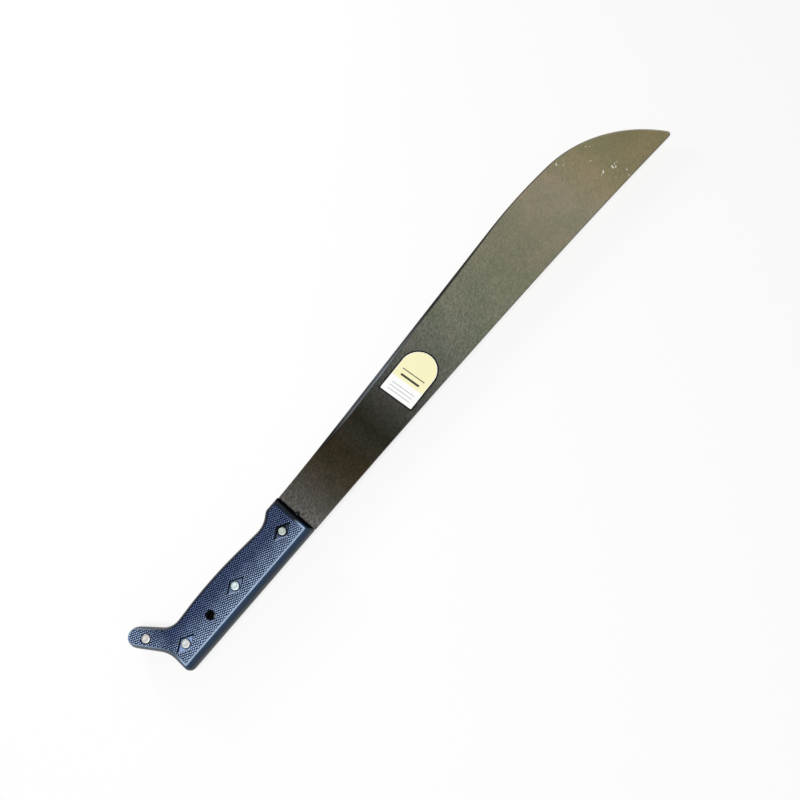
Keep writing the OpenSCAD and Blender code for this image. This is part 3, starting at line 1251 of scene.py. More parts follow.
@dataclass
class Scale:
    """One moulded half of the handle, with rolled sides and a chequered panel."""

    side: Side
    outline: HandleOutline = field(default_factory=HandleOutline)
    rivets: RivetPlan = field(default_factory=RivetPlan)
    chequering: Chequering = field(default_factory=Chequering)
    thickness: float = 11.0
    roll_width: float = 4.6
    shoulder_radius: float = 1.8
    rim_width: float = 0.3
    seam_depth: float = 0.22
    # Inset and height of the seam groove's outer lip.
    seam_lip: Point = (0.06, 0.14)
    # Faces up the rolled side and round its shoulder.
    roll_steps: int = 12
    shoulder_steps: int = 8
    lanyard_radius: float = 3.65
    lanyard_chamfer: float = 0.35
    # Below this height the lanyard hole is painted near-black as shade.
    lanyard_shade_z: float = 8.0
    # Beside the tang the bore stands back this far, so that the steel shows.
    lanyard_step: float = 0.1
    blade_half: float = 1.0
    # Faces within this inset of the front, next to the blade, are painted darker as shade and
    # take no wear.
    front_width: float = 2.2
    # The recess wall that is painted lit as a highlight, and the radius of the painted shade
    # round each rivet.
    lit_wall: int = 2
    painted_shade_radius: float = 4.05
    nib_radius: float = 1.6
    nib_y: float = 3.4
    nib_top: float = 4.5
    nib_edge: float = 0.3
    # The cut chequering's underside has normals with a lower Z than this.
    underside: float = -0.9
    # How far off a recess's wall a face may lie and still belong to it.
    wall_tolerance: float = 0.01

    @staticmethod
    def finishes() -> dict[Plastic, MouldedPolypropylene]:
        """Tells the plastic of each part of the handle.

        Returns:
            The finishes, by their place in the material slots.
        """
        # Painted shade, near-black, for the lanyard bore and round each rivet's foot.
        painted_shade = ((0.0, "#040507"), (1.0, "#06080c"))
        # Painted highlight, pale blue, for the recess walls that face the light.
        bright = ((0.0, "#8293b4"), (1.0, "#cfdbf0"))
        # Wear and painted highlight run on to the front edge of what lies inside the panel.
        panel = MouldedPolypropylene(fresh_unlit_from=101.0, fresh_unlit_to=102.0)
        return {
            Plastic.SIDES: MouldedPolypropylene(),
            # Painted light and shade: near-black grooves, and pale tips that are partly worn and
            # partly painted highlights, brighter towards the back; the painted lean lights the
            # slopes that face one way.
            Plastic.CHEQUERING: replace(
                panel,
                name="polypropylene_moulded_chequering",
                fresh_shading=((0.0, "#02050b"), (0.6, "#0b172e"), (0.95, "#546998")),
                rubbed_shading=((0.0, "#050a14"), (0.6, "#1a2c4e"), (0.95, "#bcd6fa")),
                low_z=10.6,
                painted_lean=0.6,
                gloss=0.15,
                wear_and_highlight_way=(-0.05, -1.0, 0.0),
                wear_and_highlight_from=-6.0,
                wear_and_highlight_to=16.0,
            ),
            # Painted shade on the near-black walls, and a painted reflection, pale blue, on the
            # floors of the recesses nearer the butt.
            Plastic.RECESS: replace(
                panel,
                name="polypropylene_moulded_recess",
                fresh_shading=((0.0, "#050a14"), (1.0, "#05080e")),
                rubbed_shading=((0.0, "#92b0e2"), (1.0, "#0a101c")),
                low_z=9.5,
                high_z=9.62,
                wear_and_highlight_way=(-0.12, -1.0, 0.0),
                wear_and_highlight_from=-9.0,
                wear_and_highlight_to=12.0,
            ),
            Plastic.PAINTED_SHADE: MouldedPolypropylene(
                name="polypropylene_drilled_painted_shade",
                fresh_shading=painted_shade,
                rubbed_shading=painted_shade,
                roughness=0.9,
                gloss=0.05,
            ),
            Plastic.PAINTED_LIT_WALL: MouldedPolypropylene(
                name="polypropylene_moulded_wall_painted_lit",
                fresh_shading=bright,
                rubbed_shading=bright,
                low_z=9.5,
            ),
            # Painted shade: the front face is near-black, rough and without gloss next to the
            # blade.
            Plastic.FRONT_FACE: MouldedPolypropylene(
                name="polypropylene_moulded_navy_front",
                fresh_shading=((0.0, "#060708"), (0.8, "#080b11"), (0.93, "#101927"), (1.0, "#1b2639")),
                roughness=0.6,
                gloss=0.0,
            ),
        }

    def profile(self) -> list[Point]:
        """Draws the section of the rolled side.

        Returns:
            Inset and height of each point, from the seam to the rim's inner foot.
        """
        rise, run = self.thickness - self.shoulder_radius, self.roll_width - self.shoulder_radius
        side = self.shoulder_radius + (rise**2 + run**2) / (2 * run)
        turn = math.asin(rise / (side - self.shoulder_radius))
        points: list[Point] = [(self.seam_depth, 0.0), self.seam_lip]
        for k in range(1, self.roll_steps + 1):
            a = turn * k / self.roll_steps
            points.append((side * (1 - math.cos(a)), side * math.sin(a)))
        for k in range(1, self.shoulder_steps + 1):
            a = turn + (math.pi / 2 - turn) * k / self.shoulder_steps
            across, up = self.shoulder_radius * math.cos(a), self.shoulder_radius * math.sin(a)
            points.append((self.roll_width - across, rise + up))
        rim_end = self.roll_width + self.rim_width
        return points + [(rim_end, self.thickness), (rim_end, self.chequering.root_z)]

    def build(self, materials: Sequence[bpy.types.Material]) -> bpy.types.Object:
        """Makes the scale.

        Args:
            materials: Its finishes, in the order of Plastic.

        Returns:
            The finished piece.
        """
        draft = MeshDraft()
        profile = self.profile()
        rings = [draft.ring(self.outline.inset(d), z) for d, z in profile]
        for (inset, _), lower, upper in zip(profile[1:], rings, rings[1:]):
            draft.bridge(lower, upper)
            # A ring's last face is the front one, and lies next to the blade, where it takes the
            # front face's painted shade.
            if inset < self.front_width:
                draft.slots[-1] = Plastic.FRONT_FACE
        holes = [self._recess(draft, i) for i in range(len(self.rivets.names))]
        mouth, seam_bore = self._lanyard_bore(draft)
        holes.append((mouth, mouth))
        draft.fill([rings[0], seam_bore], up=False)
        self._nib(draft)
        rim_end = self.roll_width + self.rim_width
        self._add_panel(draft, self.chequering.cut(self.outline.inset(rim_end), holes))
        name = f"{self.side.name.lower()}_scale_moulding"
        piece = draft.build(name, materials, self.side, sharp=50.0)
        settle(piece, Slot.HANDLE, f"{self.side.name.lower()}_scale")
        return piece

    def _recess(self, draft: MeshDraft, index: int) -> tuple[Loop, Loop]:
        """Adds the walls and the floor of one rivet's recess.

        Args:
            draft: The scale.
            index: The rivet's number.

        Returns:
            The recess's outline at the chequering's root and above its tips.
        """
        root, floor_z = self.chequering.root_z, self.thickness - self.rivets.depth
        mouth = self.rivets.recess(index, self.thickness - root)
        wall = draft.ring(mouth, root)
        floor = draft.ring(self.rivets.recess(index, self.rivets.depth), floor_z)
        draft.bridge(wall, floor, Plastic.RECESS)
        # The last faces are the walls, one from each corner of the outline; one of them is
        # painted lit as a highlight.
        if index != self.rivets.round_recess:
            draft.slots[self.lit_wall - len(wall)] = Plastic.PAINTED_LIT_WALL
        # A disc of painted shade, near-black, lies round the rivet's foot on the floor.
        painted_shade = draft.ring(circle(self.rivets.places[index], self.painted_shade_radius), floor_z)
        draft.fill([floor, painted_shade], slot=Plastic.RECESS)
        draft.fill([painted_shade], slot=Plastic.PAINTED_SHADE)
        return mouth, self.rivets.recess(index, -self.chequering.spare)

    def _lanyard_bore(self, draft: MeshDraft) -> tuple[Loop, list[int]]:
        """Adds the chamfer and the bore of the lanyard hole.

        Args:
            draft: The scale.

        Returns:
            The hole's outline in the panel, and the bore's ring at the seam.
        """
        root = self.chequering.root_z
        mouth = circle((0.0, 0.0), self.lanyard_radius + self.lanyard_chamfer)
        bore = circle((0.0, 0.0), self.lanyard_radius)
        wide = circle((0.0, 0.0), self.lanyard_radius + self.lanyard_step)
        top = draft.ring(bore, root - self.lanyard_chamfer)
        shade_top = draft.ring(bore, self.lanyard_shade_z)
        foot = draft.ring(bore, self.blade_half)
        draft.bridge(draft.ring(mouth, root), top)
        draft.bridge(top, shade_top)
        # Below the shade height the bore and its step are painted near-black as shade.
        draft.bridge(shade_top, foot, Plastic.PAINTED_SHADE)
        seam, step = draft.ring(wide, 0.0), draft.ring(wide, self.blade_half)
        draft.bridge(foot, step, Plastic.PAINTED_SHADE)
        draft.bridge(step, seam, Plastic.PAINTED_SHADE)
        return mouth, seam

    def _nib(self, draft: MeshDraft) -> None:
        """Adds the gate nib on the front face, with a broken top edge.

        Args:
            draft: The scale.
        """
        foot, top, r = self.blade_half, self.nib_top, self.nib_radius
        edge, bow = self.nib_edge, self.nib_edge / 3
        profile = [(0, foot), (r, foot), (r, top - edge), (r - bow, top - bow)]
        profile += [(r - edge, top), (0, top)]
        revolve(draft, (self.outline.front_x, self.nib_y), profile, steps=32)

    def _add_panel(self, draft: MeshDraft, panel: bpy.types.Mesh) -> None:
        """Adds the trimmed chequering to the scale, without its underside.

        Args:
            draft: The scale.
            panel: The trimmed chequering.
        """
        first = len(draft.points)
        draft.points += [tuple(c / MM for c in v.co) for v in panel.vertices]
        for face in panel.polygons:
            if face.normal.z > self.underside:
                slot = self._panel_slot(face.center / MM, face.normal)
                draft.face([first + k for k in face.vertices], slot)
        bpy.data.meshes.remove(panel)

    def _panel_slot(self, at: Vector, normal: Vector) -> Plastic:
        """Tells the finish of a face of the chequered panel.

        Args:
            at: The face's centre, in millimetres.
            normal: Its normal.

        Returns:
            A recess wall's finish where the face lies on one, painted lit where the wall faces
            the light, or else the chequering's.
        """
        for index, (x, y) in enumerate(self.rivets.places):
            dx, dy = at.x - x, at.y - y
            inwards = normal.x * dx < 0 and normal.y * dy < 0
            if index == self.rivets.round_recess or not inwards:
                continue
            loop = self.rivets.recess(index, self.thickness - at.z)
            reach = abs(dx) / (loop[0][0] - x) + abs(dy) / (loop[1][1] - y)
            if abs(reach - 1) < self.wall_tolerance:
                # Walls on the low X and low Y side face the light and are painted lit.
                return Plastic.PAINTED_LIT_WALL if dx < 0 and dy < 0 else Plastic.RECESS
        return Plastic.CHEQUERING


# The blade


@dataclass(frozen=True)
class Stretch:
    """One tangent arc of the cutting edge, or a straight where the radius is 0.

    turn is to the right in degrees, or a straight's length, and steps are the
    faces along it.
    """

    radius: float
    turn: float
    steps: int


@dataclass
class Blade:
    """The blade's sheet: flat faces, a ground bevel along the edge, and the tang."""

    outline: HandleOutline = field(default_factory=HandleOutline)
    back_step: float = 0.6
    # The cutting edge, from its height and heading in degrees at the heel. run
    # is the heel's arc and the straight after it together. A short drop joins
    # the nose to the point, which ends in line with the sloping back.
    heel_height: float = 40.85
    heel_heading: float = 1.7
    heel: Stretch = Stretch(2000.0, -1.75, 12)
    run: float = 290.0
    straight_steps: int = 60
    belly: Stretch = Stretch(520.0, 8.75, 30)
    nose: Stretch = Stretch(106.0, 58.0, 96)
    drop_steps: int = 3
    point_radius: float = 3.0
    point_heading: float = -182.0
    point_steps: int = 20
    # The back bows all along, and more from back_bend on.
    back_radius: float = 13500.0
    back_bend: float = 280.0
    nose_back_radius: float = 7500.0
    half: float = 1.0
    # The edge runs unground from the heel to here. Beyond it, distance and
    # the bevel's width, and distance and its depth on one face.
    unground: float = 48.0
    bevel_widths: tuple[Point, ...] = (
        (0.0, 0.2),
        (8.0, 3.08),
        (20.0, 4.004),
        (40.0, 4.62),
        (80.0, 4.708),
        (106.0, 4.4),
        (138.0, 2.992),
        (190.0, 2.794),
        (230.0, 2.2),
        (275.0, 1.54),
    )
    bevel_depths: tuple[Point, ...] = ((0.0, 0.15), (40.0, 0.75))
    # The narrow blunt land beside the edge, and the chamfer along the back.
    land: float = 0.06
    chamfer: float = 0.18
    # The back's points end this far before the edge's last one.
    back_short: float = 0.6
    tang_margin: float = 4.0
    lanyard_radius: float = 3.65

    @staticmethod
    def finishes() -> dict[Steel, Finish]:
        """Tells the finish of each part of the blade.

        Returns:
            The finishes, by their place in the material slots.
        """
        return {
            Steel.LACQUERED: LacqueredSteel(),
            Steel.GROUND: GroundSteel(),
            Steel.SHEARED: SteelTrim("high_carbon_steel_sheared", "#5f5c58", 0.9, 0.4),
            Steel.SCRATCHED: SteelTrim("high_carbon_steel_scratched", "#f2f0e8", 0.5, 0.7, 0.3),
            # The lanyard bore, painted near-black as shade.
            Steel.PAINTED_SHADE: SteelTrim("high_carbon_steel_painted_shade", "#0a0a0b", 0.9, 0.9, 0.0),
        }

    def _back(self, x: float) -> float:
        """Tells where the back runs.

        Args:
            x: The distance from the handle.

        Returns:
            The back's Y.
        """
        bow = x * x / (2 * self.back_radius)
        bow += max(0.0, x - self.back_bend) ** 2 / (2 * self.nose_back_radius)
        return self.outline.back_y - self.back_step - bow

    @staticmethod
    def _along(start: Triple, stretch: Stretch, part: float) -> Triple:
        """Follows a tangent arc or straight.

        Args:
            start: X, Y and heading in degrees at its start.
            stretch: The arc or straight.
            part: The share of it that has been run.

        Returns:
            X, Y and heading.
        """
        x, y, heading = start
        gone = stretch.turn * part
        h0, h1 = math.radians(heading), math.radians(heading - gone)
        if stretch.radius == 0:
            return (x + gone * math.cos(h0), y + gone * math.sin(h0), heading)
        r = math.copysign(stretch.radius, stretch.turn)
        across, along = math.cos(h0) - math.cos(h1), math.sin(h0) - math.sin(h1)
        return (x + r * along, y - r * across, heading - gone)

    def _follow(self, start: Triple, *stretches: Stretch) -> list[Triple]:
        """Follows arcs and straights, one after the other.

        Args:
            start: X, Y and heading in degrees at the first one's start.
            *stretches: The arcs and straights.

        Returns:
            X, Y and heading of each point, with both ends.
        """
        points = [start]
        for row in stretches:
            here = points[-1]
            points += [self._along(here, row, k / row.steps) for k in range(1, row.steps + 1)]
        return points

    def edge(self) -> list[Triple]:
        """Follows the cutting edge.

        Returns:
            X, Y and heading of each point, from the heel to the point.
        """
        heel_y = self.outline.back_y - self.back_step + self.heel_height
        start = (self.outline.front_x, heel_y, self.heel_heading)
        length = self.run - self.heel.radius * math.radians(-self.heel.turn)
        straight = Stretch(0, length, self.straight_steps)
        points = self._follow(start, self.heel, straight, self.belly, self.nose)
        here = points[-1]
        turn = here[2] - self.point_heading
        h, end = math.radians(here[2]), math.radians(here[2] - turn)
        drop = self._back(here[0] - self.outline.front_x) - here[1]
        drop += self.point_radius * (math.cos(h) - math.cos(end))
        down = Stretch(0, drop / math.sin(h), self.drop_steps)
        point = Stretch(self.point_radius, turn, self.point_steps)
        return points + self._follow(here, down, point)[1:]

    @staticmethod
    def _lookup(x: float, table: Sequence[Point]) -> float:
        """Reads a table along straight lines between its rows.

        Args:
            x: Where it is read.
            table: X and value of each row.

        Returns:
            The value at x, which past either end is that end's.
        """
        if x <= table[0][0]:
            return table[0][1]
        for (x0, y0), (x1, y1) in zip(table, table[1:]):
            if x <= x1:
                return y0 + (y1 - y0) * (x - x0) / (x1 - x0)
        return table[-1][1]

    def _bevel(self, x: float) -> Point:
        """Returns the bevel's width and depth at a distance from the handle."""
        past = x - self.unground
        return self._lookup(past, self.bevel_widths), self._lookup(past, self.bevel_depths)

    def build(self) -> bpy.types.Object:
        """Makes the blade.

        Returns:
            The finished piece.
        """
        draft = MeshDraft()
        edge = self.edge()
        count = len(edge)
        front_x = self.outline.front_x
        end = edge[-1][0] - self.back_short - front_x
        back = [
            (front_x + end * i / (count - 1), self._back(end * i / (count - 1)))
            for i in range(count)
        ]
        runs = [0.0]
        for a, b in zip(edge, edge[1:]):
            runs.append(runs[-1] + math.dist(a[:2], b[:2]))
        upper, lower = (self._face(draft, edge, back, runs, side) for side in Side)
        for end_index in (0, -1):
            cap = [ring[end_index] for ring in upper[::-1] + lower[:-1]]
            draft.face(cap if end_index == 0 else cap[::-1], Steel.SHEARED)
        low = draft.ring(back, -(self.half - self.chamfer))
        high = draft.ring(back, self.half - self.chamfer)
        draft.bridge(low, high, Steel.SHEARED, closed=False)
        self._tang(draft)
        Scuffs().add(draft, self.half)
        piece = draft.build("blade_sheet", make_all(self.finishes()), sharp=6.0)
        settle(piece, Slot.BLADE, "blade")
        return piece

    def _face(
        self,
        draft: MeshDraft,
        edge: Sequence[Triple],
        back: Loop,
        runs: Sequence[float],
        side: Side,
    ) -> list[list[int]]:
        """Adds one face of the blade, its bevel, and half of both edges.

        Args:
            draft: The blade.
            edge: X, Y and heading along the cutting edge.
            back: The points of the back that face them.
            runs: The distance along the edge.
            side: The face.

        Returns:
            The face's long rings, from the back to the cutting edge.
        """
        up = side.value
        border, heights, rim = [], [], []
        for x, y, heading in edge:
            width, depth = self._bevel(x - self.outline.front_x)
            h = math.radians(heading)
            border.append((x + width * math.sin(h), y - width * math.cos(h)))
            heights.append(up * (self.half - depth))
            rim.append((x + self.land * math.sin(h), y - self.land * math.cos(h)))
        bent_back = [(x, y + self.chamfer) for x, y in back]
        a = draft.ring(back, up * (self.half - self.chamfer))
        b = draft.ring(bent_back, up * self.half)
        c = draft.ring(border, up * self.half)
        d = draft.ring(rim, heights)
        e = draft.ring([(x, y) for x, y, _ in edge], 0.0)
        strips = (
            (a, b, Steel.SHEARED),
            (b, c, Steel.LACQUERED),
            (c, d, Steel.GROUND),
            (d, e, Steel.SHEARED),
        )

        def place(step: int, ring: int) -> Point:
            """Returns the run along the edge, and 0 on a strip's inner side or 1."""
            return runs[step] * MM, float(ring if side is Side.FRONT else 1 - ring)

        for first, second, slot in strips:
            pair = (first, second) if side is Side.FRONT else (second, first)
            draft.bridge(*pair, slot, closed=False, uv=place)
        return [a, b, c, d, e]

    def _tang(self, draft: MeshDraft) -> None:
        """Adds the tang between the scales, with the lanyard hole's bore.

        Args:
            draft: The blade.
        """
        outer = self.outline.inset(self.tang_margin)
        bore = circle((0.0, 0.0), self.lanyard_radius)
        low, high = draft.ring(outer, -self.half), draft.ring(outer, self.half)
        hole_low, hole_high = draft.ring(bore, -self.half), draft.ring(bore, self.half)
        draft.bridge(low, high)
        # The bore's wall takes the painted shade.
        draft.bridge(hole_high, hole_low, Steel.PAINTED_SHADE)
        draft.fill([high, hole_high])
        draft.fill([low, hole_low], up=False)


@dataclass(frozen=True)
class Scuffs:
    """Places near the tip where the lacquer has chipped and bright steel shows.

    Each is X, Y, length, width and angle in degrees.
    """

    chips: tuple[tuple[float, float, float, float, float], ...] = (
        (492.8, -1.9, 3.2, 1.5, 38.0),
        (489.6, -2.6, 1.3, 0.6, 20.0),
        (501.1, -5.6, 4.6, 1.1, 72.0),
        (503.0, -7.4, 2.4, 1.0, 50.0),
        (504.9, -4.6, 2.6, 0.6, 30.0),
        (507.4, -5.4, 1.6, 0.5, 15.0),
        (506.3, -16.8, 1.7, 0.8, 75.0),
        (503.0, -21.3, 2.2, 0.5, -10.0),
        (494.6, -14.0, 1.0, 0.6, 60.0),
        (474.3, 34.5, 2.2, 0.9, 55.0),
        (475.6, 35.3, 1.0, 0.7, 0.0),
        (478.0, 29.4, 1.4, 0.7, 30.0),
        (495.0, 13.3, 1.0, 0.7, 0.0),
        (503.7, 25.4, 1.2, 0.6, 10.0),
        (505.9, 22.4, 1.2, 0.6, 10.0),
        (483.7, 23.6, 0.9, 0.5, 0.0),
    )
    rise: float = 0.015
    corners: int = 11
    # How much two waves tear a chip's outline, and how far each moves on from
    # corner to corner and, so that no two chips are alike, from chip to chip.
    tear: float = 0.28
    tear_step: float = 5.3
    tear_shift: float = 1.7
    nick: float = 0.16
    nick_step: float = 2.1

    def add(self, draft: MeshDraft, z: float) -> None:
        """Adds the chips to the blade's upper face.

        Args:
            draft: The blade.
            z: The face's height.
        """
        for n, (x, y, length, width, angle) in enumerate(self.chips):
            turn = Matrix.Rotation(math.radians(angle), 2)
            loop: Loop = []
            for k in range(self.corners):
                a = 2 * math.pi * k / self.corners
                ragged = 1 + self.tear * math.sin(self.tear_step * k + self.tear_shift * n)
                ragged += self.nick * math.sin(self.nick_step * k * n)
                p = turn @ Vector(
                    (ragged * length / 2 * math.cos(a), ragged * width / 2 * math.sin(a))
                )
                loop.append((x + p.x, y + p.y))
            foot, top = draft.ring(loop, z), draft.ring(loop, z + self.rise)
            draft.bridge(foot, top, Steel.SCRATCHED)
            draft.fill([top], slot=Steel.SCRATCHED)
            draft.fill([foot], up=False, slot=Steel.SCRATCHED)


# Rivets


@dataclass
class Rivet:
    """One rivet, with the set head on the front and the peened end on the rear."""

    index: int
    plan: RivetPlan = field(default_factory=RivetPlan)
    thickness: float = 11.0
    head_height: float = 1.3
    head_rim: float = 0.55
    # The dish in the head's middle, and its section as shares of both.
    dish_radius: float = 1.7
    dish_depth: float = 0.08
    dish: tuple[Point, ...] = ((1.0, 0.125), (0.9, 0.35), (0.72, 0.8), (0.5, 1.0), (0.0, 1.05))
    # Below 1 the crown is flatter than an ellipse and drops off near its rim.
    fullness: float = 0.42
    crown_steps: int = 16
    foot_chamfer: float = 0.08
    washer_radius: float = 3.9
    washer_thickness: float = 0.7
    washer_edge: float = 0.12
    washer_play: float = 0.05
    shank_radius: float = 2.25
    peen_radius: float = 3.1
    peen_rim: float = 0.2
    peen_height: float = 0.65

    def _crown(self, radius: float, rim: float, height: float, hollow: float) -> list[Point]:
        """Returns the profile of a crown with a dished middle.

        Args:
            radius: The crown's radius.
            rim: The height of its straight side.
            height: Its full height.
            hollow: The radius of the dish, or 0 for none.

        Returns:
            Radius and height from the foot to the middle.
        """
        chamfer = self.foot_chamfer
        profile: list[Point] = [(radius - chamfer, 0.0), (radius, chamfer)]
        for k in range(self.crown_steps + 1):
            a = math.pi / 2 * k / self.crown_steps
            r = radius * math.cos(a) ** self.fullness
            if r <= hollow:
                break
            z = rim + (height - rim) * math.sin(a) ** self.fullness
            profile.append((0.0 if k == self.crown_steps else r, z))
        if hollow:
            edge_z = profile[-1][1]
            profile += [(r * hollow, edge_z - depth * self.dish_depth) for r, depth in self.dish]
        return profile

    def build(self) -> bpy.types.Object:
        """Makes the rivet.

        Returns:
            The finished piece.
        """
        seat = self.thickness - self.plan.depth
        head_radius = self.plan.head_radii[self.index]
        head = self._crown(head_radius, self.head_rim, self.head_height, self.dish_radius)
        peen = self._crown(self.peen_radius, self.peen_rim, self.peen_height, 0.0)
        peen_seat = seat + self.washer_thickness
        profile = [(r, -peen_seat - z) for r, z in peen[::-1]]
        profile += [(self.shank_radius, -peen_seat), (self.shank_radius, seat)]
        profile += [(r, seat + z) for r, z in head]
        draft = MeshDraft()
        revolve(draft, self.plan.places[self.index], profile)
        name = self.plan.names[self.index]
        finish = SetAluminium(f"aluminium_rivet_set_{name}", self.plan.tints[self.index])
        piece = draft.build(f"rivet_{name}_turned", [finish.build()], sharp=40.0)
        settle(piece, Slot.RIVET, f"rivet_{name}")
        return piece

    def build_washer(self, material: bpy.types.Material) -> bpy.types.Object:
        """Makes the washer under the rivet's peened end.

        Args:
            material: The aluminium.

        Returns:
            The finished piece.
        """
        seat = -(self.thickness - self.plan.depth)
        low, soft = seat - self.washer_thickness, self.washer_edge
        inner, outer = self.shank_radius + self.washer_play, self.washer_radius
        profile = [(inner, low), (outer - soft, low), (outer, low + soft), (outer, seat)]
        profile += [(inner, seat), (inner, low)]
        draft = MeshDraft()
        revolve(draft, self.plan.places[self.index], profile)
        name = self.plan.names[self.index]
        piece = draft.build(f"washer_{name}_stamped", [material], sharp=40.0)
        settle(piece, Slot.WASHER, f"washer_{name}")
        return piece


# The label


@dataclass
class Label:
    """The film label: a square end towards the handle and a round end beyond."""

    at: Point = (257.9, 6.71)
    turn: float = 2.4
    width: float = 35.2
    straight: float = 34.25
    round_radius: float = 17.7
    rise: float = 14.5
    thickness: float = 0.12
    face_z: float = 1.0
    corner: float = 0.5
    border: float = 1.3
    margin: float = 0.3
    # How far the film's cut edge is eased, inwards and down.
    lip: Point = (0.04, 0.03)
    round_steps: int = 48
    # A bare place in the white field, for the plain margin inside the line.
    plain_at: Point = (14.0, 0.0)

    def _loop(self, inset: float) -> Loop:
        """Draws the label's outline in its own axes.

        Args:
            inset: How far it is moved inwards.

        Returns:
            An anticlockwise loop.
        """
        half = self.width / 2 - inset
        left = -self.straight + inset
        r = self.round_radius - inset
        centre = self.rise - self.round_radius
        start = math.asin(half / r)
        loop: Loop = [(left, -half + self.corner), (left + self.corner, -half)]
        for k in range(self.round_steps + 1):
            a = -start + 2 * start * k / self.round_steps
            loop.append((centre + r * math.cos(a), r * math.sin(a)))
        return loop + [(left + self.corner, half), (left, half - self.corner)]

    def _placed(self, loop: Loop) -> Loop:
        """Turns and moves a loop to the label's place.

        Args:
            loop: A loop in the label's own axes.

        Returns:
            The loop in the model's frame.
        """
        turn = Matrix.Rotation(math.radians(self.turn), 2)
        turned = (turn @ Vector(p) for p in loop)
        return [(self.at[0] + p.x, self.at[1] + p.y) for p in turned]

    def build(self) -> bpy.types.Object:
        """Makes the label.

        Returns:
            The finished piece.
        """
        draft = MeshDraft()
        outer, soft = self._loop(0.0), self._loop(self.lip[0])
        line_inside = self._loop(self.border)
        inner = self._loop(self.border + self.margin)
        top = self.face_z + self.thickness
        foot = draft.ring(self._placed(outer), self.face_z)
        side = draft.ring(self._placed(outer), top - self.lip[1])
        lip = draft.ring(self._placed(soft), top)
        line = draft.ring(self._placed(line_inside), top)
        field_rim = draft.ring(self._placed(inner), top)
        for lower, upper in ((foot, side), (side, lip), (lip, line)):
            draft.bridge(lower, upper, Print.INK)
        plain = (self.plain_at[0] * MM, self.plain_at[1] * MM)
        draft.bridge(line, field_rim, uv=lambda i, up: plain)
        draft.fill([foot], up=False)
        first = len(draft.faces)
        draft.fill([field_rim])
        own = dict(zip(field_rim, inner))
        for n in range(first, len(draft.faces)):
            draft.uvs[n] = tuple(
                ((own[k][0] + self.straight) * MM, own[k][1] * MM) for k in draft.faces[n]
            )
        finishes = {Print.FILM: PrintedFilm(), Print.INK: PrintingInk()}
        piece = draft.build("label_film", make_all(finishes))
        settle(piece, Slot.LABEL, "label")
        return piece


# The studio


@dataclass(frozen=True)
class Softbox:
    """A square lamp: its place, its side and its power in watts."""

    name: str
    at: Triple
    size: float
    power: float
    aim: Triple = (200.0, 0.0, 0.0)

    def build(self) -> None:
        """Adds the lamp."""
        light = bpy.data.lights.new(self.name, "AREA")
        light.size = self.size * MM
        light.energy = self.power
        lamp = bpy.data.objects.new(self.name, light)
        place, aim = Vector(self.at) * MM, Vector(self.aim) * MM
        lamp.location = place
        lamp.rotation_euler = (aim - place).to_track_quat("-Z", "Y").to_euler()
        bpy.context.scene.collection.objects.link(lamp)


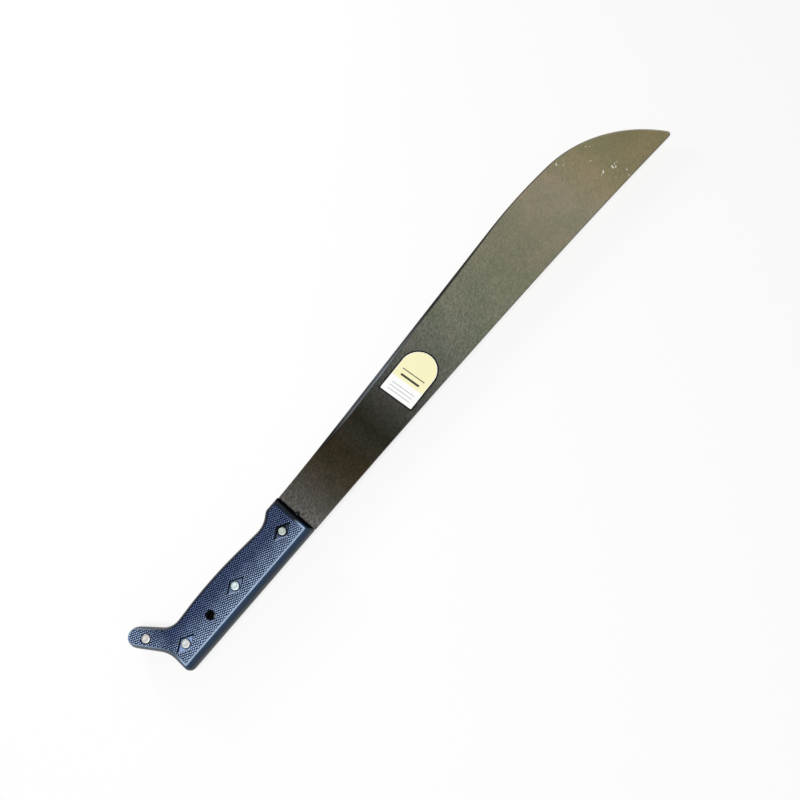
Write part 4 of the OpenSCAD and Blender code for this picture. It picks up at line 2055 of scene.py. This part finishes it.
@dataclass
class Studio:
    """White paper floor, soft lamps and the photograph's camera."""

    floor_z: float = -11.03
    floor_half: float = 2500.0
    lamps: tuple[Softbox, ...] = (
        Softbox("key_softbox", (-270.0, -140.0, 1190.0), 350.0, 9.5),
        Softbox("edge_softbox", (290.0, 910.0, 320.0), 250.0, 5.0),
    )
    # The light of the surround changes between these heights in degrees.
    wall_top: float = 10.0
    ceiling_from: float = 45.0
    wall_light: float = 0.75
    ceiling_light: float = 0.25
    camera_at: Triple = (120.61, -215.24, 700.81)
    camera_aim: Triple = (226.36, 1.66, 0.0)
    camera_roll: float = -51.53
    focal_length: float = 40.5
    sensor_width: float = 36.0
    clip_start: float = 10.0

    def build(self) -> None:
        """Makes the floor, the light and the camera."""
        scene = bpy.context.scene
        scene.view_settings.view_transform = "Standard"
        self._floor()
        self._world(scene)
        for lamp in self.lamps:
            lamp.build()
        self._camera(scene)

    def _floor(self) -> None:
        """Makes the paper floor."""
        draft = MeshDraft()
        h = self.floor_half
        draft.face(draft.ring([(-h, -h), (h, -h), (h, h), (-h, h)], self.floor_z))
        draft.build("paper_floor", [StudioPaper().build()])

    def _world(self, scene: bpy.types.Scene) -> None:
        """Sets a surround of white walls under a grey ceiling.

        Args:
            scene: The scene.
        """
        world = bpy.data.worlds.new("white_surround")
        world.use_nodes = True
        tree = world.node_tree
        tree.nodes.clear()
        way = add_node(tree, "ShaderNodeTexCoord").outputs["Generated"]
        height = add_node(tree, "ShaderNodeSeparateXYZ", {0: way}).outputs["Z"]
        low, high = (math.sin(math.radians(a)) for a in (self.wall_top, self.ceiling_from))
        ends = {"Value": height, "From Min": low, "From Max": high}
        ends |= {"To Min": self.wall_light, "To Max": self.ceiling_light}
        strength = add_node(tree, "ShaderNodeMapRange", ends).outputs[0]
        light = {"Color": (1.0, 1.0, 1.0, 1.0), "Strength": strength}
        surround = add_node(tree, "ShaderNodeBackground", light)
        add_node(tree, "ShaderNodeOutputWorld", {"Surface": surround.outputs[0]})
        scene.world = world

    def _camera(self, scene: bpy.types.Scene) -> None:
        """Sets the camera at the photograph's place.

        Args:
            scene: The scene.
        """
        data = bpy.data.cameras.new("photo_camera")
        data.lens = self.focal_length
        data.sensor_width = self.sensor_width
        data.clip_start = self.clip_start * MM
        camera = bpy.data.objects.new("photo_camera", data)
        place, aim = Vector(self.camera_at) * MM, Vector(self.camera_aim) * MM
        ahead = (aim - place).normalized()
        right = ahead.cross(Vector((0.0, 1.0, 0.0))).normalized()
        up = right.cross(ahead)
        turn = math.radians(self.camera_roll)
        rolled_right = right * math.cos(turn) + up * math.sin(turn)
        rolled_up = up * math.cos(turn) - right * math.sin(turn)
        axes = Matrix((rolled_right, rolled_up, -ahead)).transposed()
        camera.matrix_world = Matrix.Translation(place) @ axes.to_4x4()
        scene.collection.objects.link(camera)
        scene.camera = camera


def main() -> None:
    logging.basicConfig(level=logging.INFO, format="%(name)s: %(message)s")
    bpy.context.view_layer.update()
    Blade().build()
    plastics = make_all(Scale.finishes())
    for side in Side:
        Scale(side).build(plastics)
    plan = RivetPlan()
    stamped = plan.washer_finish.build()
    for index in range(len(plan.names)):
        Rivet(index, plan).build()
        Rivet(index, plan).build_washer(stamped)
    Label().build()
    Studio().build()


if __name__ == "__main__":
    main()
